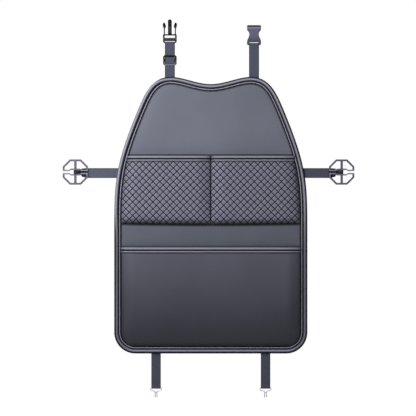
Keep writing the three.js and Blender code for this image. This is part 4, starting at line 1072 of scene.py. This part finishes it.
class ORGANIZER_OT_upper_pockets(bpy.types.Operator):
    """Build the two quilted upper pockets and their hems"""

    bl_idname = "organizer.upper_pockets"
    bl_label = "Upper Pockets"

    def execute(self, context):
        sizes, colours = context.scene.organizer_sizes, context.scene.organizer_colours
        quilt, trim = quilted_leather(colours, sizes), trim_leather(colours)
        # Painted shade: the right wall is darkened more along its outer side than the left, which takes
        # the light.
        walls = {
            "right": quilted_wall(sizes, QUILT_OFFSET_RIGHT, 0.78),
            "left": quilted_wall(sizes, QUILT_OFFSET_LEFT, 0.2),
        }
        hem_points, hem_faces, crown = hem(
            lambda z: np.full_like(z, SEAM_GAP / 2),
            lambda z: half_width(BORDER, z),
            UPPER_HEM_BOTTOM,
            lambda x: upper_fullness(x, UPPER_HEM_BOTTOM),
            3.5 * MM,
            HEM_CORNERS,
        )
        for side, turn in (("right", lambda points: points), ("left", mirrored)):
            wall, faces, fade = walls[side]
            if not faces:
                raise RuntimeError("the quilted wall has no faces")
            padded = make_piece(
                f"quilted_wall_{side}", turn(wall), faces, quilt, "panel",
                [f"upper_pocket_{side}"], fade, facing=(0, -1, 0),
            )
            thicken(padded, 1.2 * MM)
            make_piece(
                f"folded_hem_{side}", turn(hem_points), hem_faces, trim, "panel",
                [f"upper_hem_{side}"], crown,
            )
        return {"FINISHED"}


# Lower pocket


def lower_fullness(x, z):
    side = half_width(BORDER, z)
    sag = roll(LOWER_MOUTH - z, LOWER_SAG_RUN)
    depth = LOWER_FULLNESS * (LOWER_MOUTH_SHARE + (1 - LOWER_MOUTH_SHARE) * sag)
    return depth * roll(side - np.abs(x), LOWER_SIDE_ROLL) * roll(z - POCKET_FLOOR, LOWER_BOTTOM_ROLL)


class ORGANIZER_OT_lower_pocket(bpy.types.Operator):
    """Build the wide lower pocket and its hem"""

    bl_idname = "organizer.lower_pocket"
    bl_label = "Lower Pocket"

    def execute(self, context):
        colours = context.scene.organizer_colours
        rows, columns = 96, 110
        top = LOWER_HEM_BOTTOM + 1.5 * MM
        share = np.sin(math.pi / 2 * np.linspace(0, 1, rows))[:, None]
        z = top + (POCKET_FLOOR + 0.2 * MM - top) * share
        across = -np.cos(math.pi * np.linspace(0, 1, columns))[None, :]
        x = half_width(BORDER, z) * across
        z = np.broadcast_to(z, x.shape)
        edge = np.minimum(half_width(BORDER, z) - np.abs(x), z - POCKET_FLOOR)
        ease = np.array([
            noise.noise(Vector((a / 0.09, b / 0.16, 1.7))) for a, b in zip(x.ravel(), z.ravel())
        ]).reshape(x.shape)
        drape = 0.7 * MM * ease * roll(edge, 40 * MM)
        y = WALL_BACK - lower_fullness(x, z) - POCKET_WALL * roll(edge + 0.5 * MM, 5 * MM) - drape
        points = np.stack([x, y, z], axis=-1).reshape(-1, 3)
        # Painted shade along the lower pocket's sides, under its hem and towards its floor.
        fade = np.maximum.reduce([
            near(edge - 1.3 * MM, 4 * MM), 0.4 * near(edge, 14 * MM), 0.6 * near(top - z, 4 * MM),
            0.8 * near(z - POCKET_FLOOR, 15 * MM),
        ])
        wall = make_piece(
            "lower_wall", points, grid_faces(rows, columns), pocket_leather(colours), "panel",
            ["lower_pocket"], {"fade": fade.ravel()}, facing=(0, -1, 0),
        )
        thicken(wall, 1.2 * MM)

        points, faces, crown = hem(
            lambda z: -half_width(BORDER, z),
            lambda z: half_width(BORDER, z),
            LOWER_HEM_BOTTOM,
            lambda x: lower_fullness(x, LOWER_HEM_BOTTOM),
            3.5 * MM,
            HEM_CORNERS,
        )
        make_piece(
            "folded_hem_lower", points, faces, trim_leather(colours), "panel",
            ["lower_hem"], crown,
        )
        return {"FINISHED"}


# Straps


def strap_points(path, widths, thicknesses, across, shade, pleats=None):
    """A woven ribbon along a path. Each cross-section is flat with rounded edges, and folds into
    pleats where it is gathered. Also gives each point's place on the cloth, and its shade."""
    path = np.asarray(path, float)
    tangent = np.gradient(path, axis=0)
    tangent /= np.linalg.norm(tangent, axis=1)[:, None]
    through = np.cross(np.broadcast_to(across, path.shape), tangent)
    through /= np.linalg.norm(through, axis=1)[:, None]
    run = np.concatenate([[0], np.cumsum(np.linalg.norm(np.diff(path, axis=0), axis=1))])
    count = 21
    share = np.linspace(-0.5, 0.5, count)
    rounding = np.sqrt(np.clip(1 - (np.abs(share) / 0.5) ** 12, 0, 1)) * 0.5 + 0.04
    front, back = np.column_stack([share, rounding]), np.column_stack([share, -rounding])
    section = np.concatenate([front, back[::-1]])
    pleats = np.zeros(len(path)) if pleats is None else pleats
    shades = np.broadcast_to(shade, len(path))
    points, cloth = [], []
    for i, centre in enumerate(path):
        wave = pleats[i] * np.sin(section[:, 0] * 6 * math.pi)
        points.append(
            centre
            + np.outer(section[:, 0] * widths[i], across)
            + np.outer(section[:, 1] * thicknesses[i] + wave, through[i])
        )
        flat_width = max(widths[i], SIDE_WEBBING_WIDTH)
        cloth.append(np.column_stack([
            section[:, 0] * flat_width, np.full(len(section), run[i]), np.full(len(section), shades[i]),
        ]))
    ring = len(section)
    faces = grid_faces(len(path), ring, close_columns=True)
    faces += [tuple(range(ring)), tuple(range((len(path) - 1) * ring, len(path) * ring))]
    return np.vstack(points), faces, {"cloth": np.vstack(cloth)}


def looped_path(x, sewn_end, bar, bar_radius, tail, direction):
    """Up or down to a bar, round it, and back behind. direction is 1 upwards."""
    radius = bar_radius + SEAM_GAP + WEBBING_THICKNESS / 2
    line = [(STRAP_Y, sewn_end), (STRAP_Y, bar - direction * LOOP_LEAD)]
    for angle in np.linspace(0, math.pi, 14):
        line.append((LOOP_Y - radius * math.cos(angle), bar + direction * radius * math.sin(angle)))
    line += [(TAIL_Y, bar - direction * LOOP_LEAD), (TAIL_Y, bar - direction * tail)]
    even = evenly(np.array(line), 1.2 * MM, closed=False)
    return np.column_stack([np.full(len(even), x), even])


def side_strap_path(hand, clip_x):
    """From the panel's side to the clip, where the webbing narrows and loops round the spoke"""
    radius = CLIP_THICKNESS / 2 + SEAM_GAP + CLIP_LOOP_THICKNESS / 2
    reach = abs(clip_x)
    sewn_end = half_width(OUTLINE, SIDE_STRAP_Z) - SEWN_LENGTH
    clip_edge = reach - CLIP_SIZE / 2
    channel_end = reach - CLIP_CHANNEL_LENGTH / 2
    flat = (SIDE_WEBBING_WIDTH, WEBBING_THICKNESS, SIDE_STRAP_Z, 0.0)
    bunch = (CLIP_LOOP_WIDTH, CLIP_LOOP_THICKNESS, CLIP_Z, 0.35 * MM)
    wide_x = channel_end - 1.6 * MM
    wide_share = (wide_x - clip_edge - 4 * MM) / (channel_end - clip_edge - 4 * MM)
    wide = (0.82 * SIDE_WEBBING_WIDTH, WEBBING_THICKNESS, (SIDE_STRAP_Z + CLIP_Z) / 2, 0.2 * MM)
    line = [
        (sewn_end, STRAP_Y, *flat),
        (clip_edge - 8 * MM, STRAP_Y, *flat),
        (clip_edge + 4 * MM, STRAP_Y, *flat),
        (wide_x, STRAP_Y + wide_share * (CLIP_Y + radius - STRAP_Y), *wide),
        (channel_end, CLIP_Y + radius, *bunch),
    ]
    for angle in np.linspace(0, math.pi, 12):
        x, y = reach + radius * math.sin(angle), CLIP_Y + radius * math.cos(angle)
        line.append((x, y, *bunch))
    line += [
        (reach - 4.5 * MM, CLIP_Y - 0.8 * radius, *bunch),
        (reach - 7.5 * MM, CLIP_Y - 0.3 * radius, *bunch),
        (channel_end + 3.4 * MM, CLIP_Y + 0.25 * radius, *bunch),
    ]
    line = np.array(line)
    run = np.concatenate([[0], np.cumsum(np.linalg.norm(np.diff(line[:, :2], axis=0), axis=1))])
    at = np.linspace(0, run[-1], round(run[-1] / (1.2 * MM)))
    even = np.column_stack([np.interp(at, run, line[:, k]) for k in range(line.shape[1])])
    path = np.column_stack([hand * even[:, 0], even[:, 1], even[:, 4]])
    return path, even[:, 2], even[:, 3], even[:, 5]


class ORGANIZER_OT_straps(bpy.types.Operator):
    """Build the six webbing straps"""

    bl_idname = "organizer.straps"
    bl_label = "Straps"

    def execute(self, context):
        material = webbing_material(context.scene.organizer_colours)
        across_x, across_z = np.array([1.0, 0, 0]), np.array([0, 0, 1.0])

        def top_edge(x):
            beside = np.abs(OUTLINE[:, 0] - x) < 4 * MM
            return OUTLINE[beside, 1].max()

        # The last number of each strap is its painted shade: darker on the straps that get less light.
        looped = {
            "top_strap_left": (
                TOP_LEFT_X, top_edge(TOP_LEFT_X) - SEWN_LENGTH, MALE_BAR_Z, BUCKLE_BAR_RADIUS,
                SLIDER_TAIL, 1, TOP_WEBBING_WIDTH, 0.25,
            ),
            "top_strap_right": (
                TOP_RIGHT_X, top_edge(TOP_RIGHT_X) - SEWN_LENGTH, FEMALE_BAR_Z, BUCKLE_BAR_RADIUS,
                RIGHT_TAIL, 1, TOP_WEBBING_WIDTH, 0.17,
            ),
        }
        for side, hand in (("left", -1), ("right", 1)):
            looped[f"bottom_strap_{side}"] = (
                hand * BOTTOM_STRAP_X, PANEL_BOTTOM + SEWN_LENGTH, HOOK_BAR_Z, WIRE_DIAMETER / 2,
                BOTTOM_TAIL, -1, BOTTOM_WEBBING_WIDTH, 0.38,
            )
        for node, (*route, width, shade) in looped.items():
            path = looped_path(*route)
            stations = len(path)
            points, faces, cloth = strap_points(
                path, np.full(stations, width), np.full(stations, WEBBING_THICKNESS), across_x, shade
            )
            make_piece(f"woven_{node}", points, faces, material, "panel", [node], cloth)

        # Each side strap's own painted shade, and painted shadow where it passes behind the clip's ring
        # and gathers in the channel.
        for side, hand, clip_x, shade in (("left", -1, CLIP_LEFT_X, 0), ("right", 1, CLIP_RIGHT_X, 0.25)):
            path, widths, thicknesses, pleats = side_strap_path(hand, clip_x)
            edge = abs(clip_x) - CLIP_SIZE / 2
            shade = 0.92 - (0.92 - shade) * near(np.abs(path[:, 0]) - edge + 3 * MM, 4 * MM)
            points, faces, cloth = strap_points(path, widths, thicknesses, across_z, shade, pleats)
            make_piece(
                f"woven_side_strap_{side}", points, faces, material, "panel",
                [f"side_strap_{side}"], cloth,
            )
        return {"FINISHED"}


# Stitching


def stitches(line, proud, sizes, count=None):
    """Arched threads end to end along a line of points. proud is the way they stand off the leather."""
    run = np.concatenate([[0], np.cumsum(np.linalg.norm(np.diff(line, axis=0), axis=1))])
    count = count or int(run[-1] / sizes.stitch_length)
    stations, sides, length = 5, 6, 0.76
    share = (1 - np.cos(math.pi * np.linspace(0, 1, stations))) / 2
    at = (np.arange(count)[:, None] + (1 - length) / 2 + length * share) * run[-1] / count
    centres = np.stack([np.interp(at, run, line[:, k]) for k in range(3)], axis=-1)
    proud = np.array(proud, float)
    along = centres[:, -1:] - centres[:, :1]
    along /= np.linalg.norm(along, axis=2, keepdims=True)
    across = np.cross(along, proud)[:, :, None]
    arch = np.sin(math.pi * share)
    centres += ((0.8 * arch - 0.5) * sizes.thread_width)[:, None] * proud
    turn = np.linspace(0, 2 * math.pi, sides, endpoint=False)[:, None]
    radius = (0.3 + 0.2 * arch) * sizes.thread_width
    points = centres[:, :, None] + radius[:, None, None] * (np.cos(turn) * across + np.sin(turn) * proud)
    ring = stations * sides
    one = grid_faces(stations, sides, close_columns=True)
    one += [tuple(range(sides)), tuple(range(ring - sides, ring))]
    faces = [tuple(i + ring * stitch for i in face) for stitch in range(count) for face in one]
    return points.reshape(-1, 3), faces


def hem_seam(first, last, bottom, fullness):
    """The stitched line low on a hem"""
    x = np.arange(first, last, 2 * MM)
    height = np.full(len(x), bottom + 0.09 * HEM_HEIGHT)
    return np.column_stack([x, WALL_BACK - fullness(np.abs(x)) - 0.6 * POCKET_WALL, height])


TACK_NEAR, TACK_FAR = 8.6 * MM, 11.8 * MM  # from the bar


def bar_tack(x, bar, direction):
    """Zigzag over the strap where its two layers meet behind a bar. direction is 1 upwards."""
    steps, half_row = 9, 10 * MM
    near_end, far_end = bar - direction * TACK_NEAR, bar - direction * TACK_FAR
    across = x + np.linspace(-half_row, half_row, steps)
    height = np.where(np.arange(steps) % 2, near_end, far_end)
    return np.column_stack([across, np.full(steps, STRAP_FRONT), height])


class ORGANIZER_OT_stitching(bpy.types.Operator):
    """Sew the hems, the back of the binding and the strap ends"""

    bl_idname = "organizer.stitching"
    bl_label = "Stitching"

    def execute(self, context):
        sizes = context.scene.organizer_sizes
        thread = thread_material(context.scene.organizer_colours)
        front = (0, -1, 0)
        side = float(half_width(BORDER, UPPER_HEM_BOTTOM)) - 3 * MM
        upper = hem_seam(3 * MM, side, UPPER_HEM_BOTTOM, lambda x: upper_fullness(x, UPPER_HEM_BOTTOM))
        side = float(half_width(BORDER, LOWER_HEM_BOTTOM)) - 3 * MM
        lower = hem_seam(-side, side, LOWER_HEM_BOTTOM, lambda x: lower_fullness(x, LOWER_HEM_BOTTOM))
        back = inset(np.vstack([OUTLINE, OUTLINE[:1]]), 0.83 * BINDING_WIDTH)
        rows = {
            "hem_thread_right": (upper, front, "trim_leather", None),
            "hem_thread_left": (mirrored(upper), front, "trim_leather", None),
            "hem_thread_lower": (lower, front, "trim_leather", None),
            "binding_thread": (
                np.column_stack([back[:, 0], np.full(len(back), -0.1 * MM), back[:, 1]]), (0, 1, 0),
                "trim_leather", None,
            ),
        }
        tacks = (
            ("top_right", TOP_RIGHT_X, FEMALE_BAR_Z, 1),
            ("bottom_left", -BOTTOM_STRAP_X, HOOK_BAR_Z, -1),
            ("bottom_right", BOTTOM_STRAP_X, HOOK_BAR_Z, -1),
        )
        for name, x, bar, direction in tacks:
            line = bar_tack(x, bar, direction)
            rows[f"tack_thread_{name}"] = (line, front, "webbing", len(line) - 1)
        for name, (line, proud, slot, count) in rows.items():
            points, faces = stitches(line, proud, sizes, count)
            make_piece(name, points, faces, thread, "panel")
        return {"FINISHED"}


# Hardware


def refinish(node, material, bevel):
    """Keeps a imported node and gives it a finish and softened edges"""
    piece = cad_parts[node]
    piece.data.materials.clear()
    piece.data.materials.append(material)
    joined = piece.modifiers.new("Joined Corners", "WELD")
    joined.merge_threshold = 0.01 * MM
    softened = piece.modifiers.new("Softened Edges", "BEVEL")
    softened.width = bevel
    softened.segments = 3
    softened.limit_method = "ANGLE"
    softened.angle_limit = math.radians(35)
    softened.harden_normals = False
    return piece


class ORGANIZER_OT_buckles(bpy.types.Operator):
    """Finish the two buckle halves and the slider"""

    bl_idname = "organizer.buckles"
    bl_label = "Buckles and Slider"

    def execute(self, context):
        colours = context.scene.organizer_colours
        black, grey, rim = colours.black_plastic, colours.grey_plastic, colours.plastic_edge_shade
        # Painted sheen along the prongs and a painted highlight on the crossbar.
        prong_highlight = [
            (MALE_BAR_Z + 24 * MM, MALE_BAR_Z + 40 * MM, 4 * MM, colours.prong_highlight),
            (MALE_BAR_Z + 7.8 * MM, MALE_BAR_Z + 12.2 * MM, 1 * MM, colours.crossbar_highlight),
        ]
        finish = plastic("Prong Plastic", black, 0.5, 0.05, (rim, 0.5), prong_highlight)
        refinish("male_buckle", finish, 0.3 * MM)
        foot = SLIDER_Z - SLIDER_HEIGHT / 2
        # Painted sheen on the slider's lower half and a painted highlight on its bottom bar.
        slider = [
            (foot - 20 * MM, SLIDER_Z, 12 * MM, colours.slider_side_sheen),
            (foot - 1 * MM, foot + 3.2 * MM, 1 * MM, colours.slider_foot_highlight),
        ]
        finish = plastic("Slider Plastic", black, 0.5, 0.05, (rim, 0.5), slider)
        refinish("strap_slider", finish, 0.3 * MM)
        # Painted shade on the lower half, a painted highlight under the mouth, and painted shade on the
        # rim over the mouth and on the feet.
        socket = [
            (FEMALE_BAR_Z - 12 * MM, FEMALE_BAR_Z + 14 * MM, 16 * MM, colours.socket_foot_shade),
            (FEMALE_BAR_Z + 38.4 * MM, FEMALE_BAR_Z + 42.2 * MM, 2.4 * MM, colours.socket_lip_highlight),
            (FEMALE_BAR_Z + 42.8 * MM, FEMALE_BAR_Z + 60 * MM, 1 * MM, rim),
            (FEMALE_BAR_Z - 20 * MM, FEMALE_BAR_Z + 1.6 * MM, 1 * MM, rim),
        ]
        finish = plastic("Socket Plastic", grey, 0.42, 0.12, (rim, 0.85), socket)
        refinish("female_buckle", finish, 0.4 * MM)
        return {"FINISHED"}


class ORGANIZER_OT_side_clips(bpy.types.Operator):
    """Finish the two octagonal side clips"""

    bl_idname = "organizer.side_clips"
    bl_label = "Side Clips"

    def execute(self, context):
        colours = context.scene.organizer_colours
        rim = (colours.plastic_edge_shade, 0.4)
        # Painted highlight on the walls round the slit.
        slit_highlight = (CLIP_Z - 5.5 * MM, CLIP_Z + 5.5 * MM, 2 * MM, colours.clip_slit_highlight)
        grey = plastic("Clip Plastic", colours.grey_plastic, 0.45, 0.15, rim, [slit_highlight])
        for side in ("left", "right"):
            refinish(f"side_clip_{side}", grey, 0.4 * MM)
        return {"FINISHED"}


def hook_line():
    """Right half of the bent wire: along the eye bar, down a shank and round the hook to its tip"""
    eye, shank = HOOK_EYE_WIDTH / 2, HOOK_WIRE_SPACING / 2
    corners = [
        np.array(corner) for corner in (
            (0, 0), (eye, 0), (eye, -0.72 * HOOK_EYE_HEIGHT),
            (shank, -HOOK_EYE_HEIGHT - 0.6 * MM), (shank, -HOOK_BEND_DROP),
        )
    ]
    flat = [corners[0][None]]
    t = np.linspace(0, 1, 10)[:, None]
    for before, corner, after in zip(corners, corners[1:], corners[2:]):
        start, end = (
            corner + (to - corner) / np.linalg.norm(to - corner) * HOOK_CORNER_RADIUS
            for to in (before, after)
        )
        flat.append((1 - t) ** 2 * start + 2 * (1 - t) * t * corner + t**2 * end)
    flat = np.vstack([*flat, corners[-1][None]])
    level = np.column_stack([flat[:, 0], np.zeros(len(flat)), flat[:, 1]])
    turn = np.linspace(0, math.pi, 25)[1:]
    bend = np.column_stack([
        np.full(24, shank),
        HOOK_BEND_RADIUS * (1 - np.cos(turn)),
        -HOOK_BEND_DROP - HOOK_BEND_RADIUS * np.sin(turn),
    ])
    turn = np.linspace(0, math.pi / 2, 9)
    tip = np.column_stack([
        shank * np.cos(turn),
        np.full(9, 2 * HOOK_BEND_RADIUS),
        HOOK_TIP_RISE - HOOK_BEND_DROP + shank * np.sin(turn),
    ])
    return np.vstack([level, bend, tip])


def closed_tube(line, radius, sides=16):
    """Points and faces of a round wire along a closed line, carried round without twist"""
    along = np.roll(line, -1, axis=0) - np.roll(line, 1, axis=0)
    along /= np.linalg.norm(along, axis=1)[:, None]
    across = [np.array([0.0, 1.0, 0.0])]
    for direction in along:
        kept = across[-1] - direction * across[-1].dot(direction)
        across.append(kept / np.linalg.norm(kept))
    first = np.array(across[1:])
    second = np.cross(along, first)
    turn = np.linspace(0, 2 * math.pi, sides, endpoint=False)[None, :, None]
    ring = np.cos(turn) * first[:, None] + np.sin(turn) * second[:, None]
    points = line[:, None] + radius * ring
    return points.reshape(-1, 3), grid_faces(len(line), sides, True, True)


class ORGANIZER_OT_wire_hooks(bpy.types.Operator):
    """Build the two bent wire hooks"""

    bl_idname = "organizer.wire_hooks"
    bl_label = "Wire Hooks"

    def execute(self, context):
        wire = wire_material(context.scene.organizer_colours)
        half = hook_line()
        line = evenly(np.vstack([half, (half * (-1, 1, 1))[-2:0:-1]]), 0.6 * MM, closed=True)
        points, faces = closed_tube(line, WIRE_DIAMETER / 2)
        for side, hand in (("left", -1), ("right", 1)):
            bar = (hand * BOTTOM_STRAP_X, LOOP_Y, HOOK_BAR_Z)
            make_piece(
                f"bent_hook_{side}", points + bar, faces, wire, f"hook_{side}",
                [f"wire_hook_{side}"],
            )
        return {"FINISHED"}


# Stage


def white_to_camera(tree, plain, place):
    """Shows white to the camera and in reflections, and keeps the plain shader for other light"""
    path = add_node(tree, "ShaderNodeLightPath", (place[0] - 600, place[1] + 300))
    seen = math_node(
        tree, "MAXIMUM", (place[0] - 400, place[1] + 300),
        path.outputs["Is Camera Ray"], path.outputs["Is Glossy Ray"],
    )
    seen = math_node(
        tree, "MAXIMUM", (place[0] - 200, place[1] + 300), seen, path.outputs["Is Transmission Ray"]
    )
    mix = add_node(tree, "ShaderNodeMixShader", place)
    tree.links.new(seen, mix.inputs[0])
    tree.links.new(plain, mix.inputs[1])
    return mix


class ORGANIZER_OT_stage(bpy.types.Operator):
    """Set the camera, the soft lamps, the white surroundings and the floor"""

    bl_idname = "organizer.stage"
    bl_label = "Stage"

    def execute(self, context):
        scene = context.scene
        scene.view_settings.view_transform = "Standard"

        camera = bpy.data.objects.new("Camera", bpy.data.cameras.new("Camera"))
        camera.data.sensor_width = 36
        camera.data.lens = camera.data.sensor_width * VIEW_DISTANCE / VIEW_WIDTH
        camera.location = (VIEW_X, -VIEW_DISTANCE, VIEW_Z)
        camera.rotation_euler = (math.pi / 2, 0, 0)
        scene.collection.objects.link(camera)
        scene.camera = camera

        lamps = (
            ("Key Lamp", (-0.62, -0.8, 0.55), 0.7, 12.5),
            ("Front Lamp", (0.3, -3.4, 0.2), 2.0, 12),
            ("Back Lamp", (0.6, 2.6, 1.4), 2.0, 30),
        )
        for name, place, size, power in lamps:
            data = bpy.data.lights.new(name, "AREA")
            data.size = size
            data.energy = power
            lamp = bpy.data.objects.new(name, data)
            lamp.location = place
            lamp.rotation_euler = (-Vector(place)).to_track_quat("-Z", "Y").to_euler()
            scene.collection.objects.link(lamp)

        world = bpy.data.worlds.new("Studio")
        scene.world = world
        world.use_nodes = True
        tree = world.node_tree
        plain = tree.nodes["Background"]
        plain.inputs["Color"].default_value = (0.95, 0.97, 1, 1)
        plain.inputs["Strength"].default_value = 0.3
        white = add_node(tree, "ShaderNodeBackground", (-200, -200))
        white.inputs["Color"].default_value = (1, 1, 1, 1)
        mix = white_to_camera(tree, plain.outputs[0], (100, 0))
        tree.links.new(white.outputs[0], mix.inputs[2])
        tree.links.new(mix.outputs[0], tree.nodes["World Output"].inputs["Surface"])

        self.lay_floor(scene)
        return {"FINISHED"}

    def lay_floor(self, scene):
        """A pale round floor under the object, paler towards its edge"""
        mesh = bpy.data.meshes.new("Floor")
        bm = bmesh.new()
        bmesh.ops.create_circle(bm, cap_ends=True, segments=96, radius=1.0)
        bm.to_mesh(mesh)
        bm.free()
        floor = bpy.data.objects.new("Floor", mesh)
        floor.location = (0, 0, -0.6)
        scene.collection.objects.link(floor)
        material = bpy.data.materials.new("Pale Floor")
        material.use_nodes = True
        tree = material.node_tree
        shader = tree.nodes["Principled BSDF"]
        shader.inputs["Base Color"].default_value = (0.86, 0.86, 0.87, 1)
        shader.inputs["Roughness"].default_value = 0.9
        shader.inputs["Specular IOR Level"].default_value = 0.1
        place = add_node(tree, "ShaderNodeTexCoord", (-900, 300))
        reach = add_node(tree, "ShaderNodeVectorMath", (-700, 300), operation="LENGTH")
        tree.links.new(place.outputs["Object"], reach.inputs[0])
        fade = map_range(tree, (-500, 300), reach.outputs["Value"], 0.55, 0.98)
        path = add_node(tree, "ShaderNodeLightPath", (-900, 700))
        seen = math_node(
            tree, "MAXIMUM", (-700, 700), path.outputs["Is Camera Ray"], path.outputs["Is Glossy Ray"]
        )
        seen = math_node(tree, "MAXIMUM", (-500, 700), seen, path.outputs["Is Transmission Ray"])
        share = math_node(tree, "MULTIPLY", (-300, 500), seen, fade)
        white = add_node(tree, "ShaderNodeEmission", (0, 300))
        mix = add_node(tree, "ShaderNodeMixShader", (300, 100))
        tree.links.new(share, mix.inputs[0])
        tree.links.new(shader.outputs[0], mix.inputs[1])
        tree.links.new(white.outputs[0], mix.inputs[2])
        tree.links.new(mix.outputs[0], tree.nodes["Material Output"].inputs["Surface"])
        mesh.materials.append(material)


class ORGANIZER_PT_panel(bpy.types.Panel):
    bl_label = "Seat Back Organizer"
    bl_idname = "ORGANIZER_PT_panel"
    bl_space_type = "VIEW_3D"
    bl_region_type = "UI"
    bl_category = "Organizer"

    def draw(self, context):
        for operator in OPERATORS:
            self.layout.operator(operator.bl_idname)
        for group in (context.scene.organizer_sizes, context.scene.organizer_colours):
            box = self.layout.box()
            for name in group.__annotations__:
                box.prop(group, name)


OPERATORS = (
    ORGANIZER_OT_stage,
    ORGANIZER_OT_padded_panel,
    ORGANIZER_OT_edging,
    ORGANIZER_OT_upper_pockets,
    ORGANIZER_OT_lower_pocket,
    ORGANIZER_OT_straps,
    ORGANIZER_OT_stitching,
    ORGANIZER_OT_buckles,
    ORGANIZER_OT_side_clips,
    ORGANIZER_OT_wire_hooks,
)
CLASSES = (OrganizerSizes, OrganizerColours, *OPERATORS, ORGANIZER_PT_panel)


def register():
    for item in CLASSES:
        bpy.utils.register_class(item)
    bpy.types.Scene.organizer_sizes = bpy.props.PointerProperty(type=OrganizerSizes)
    bpy.types.Scene.organizer_colours = bpy.props.PointerProperty(type=OrganizerColours)


def unregister():
    del bpy.types.Scene.organizer_sizes
    del bpy.types.Scene.organizer_colours
    for item in reversed(CLASSES):
        bpy.utils.unregister_class(item)


def main():
    register()
    for operator in OPERATORS:
        group, name = operator.bl_idname.split(".")
        getattr(getattr(bpy.ops, group), name)()


if __name__ == "__main__":
    main()
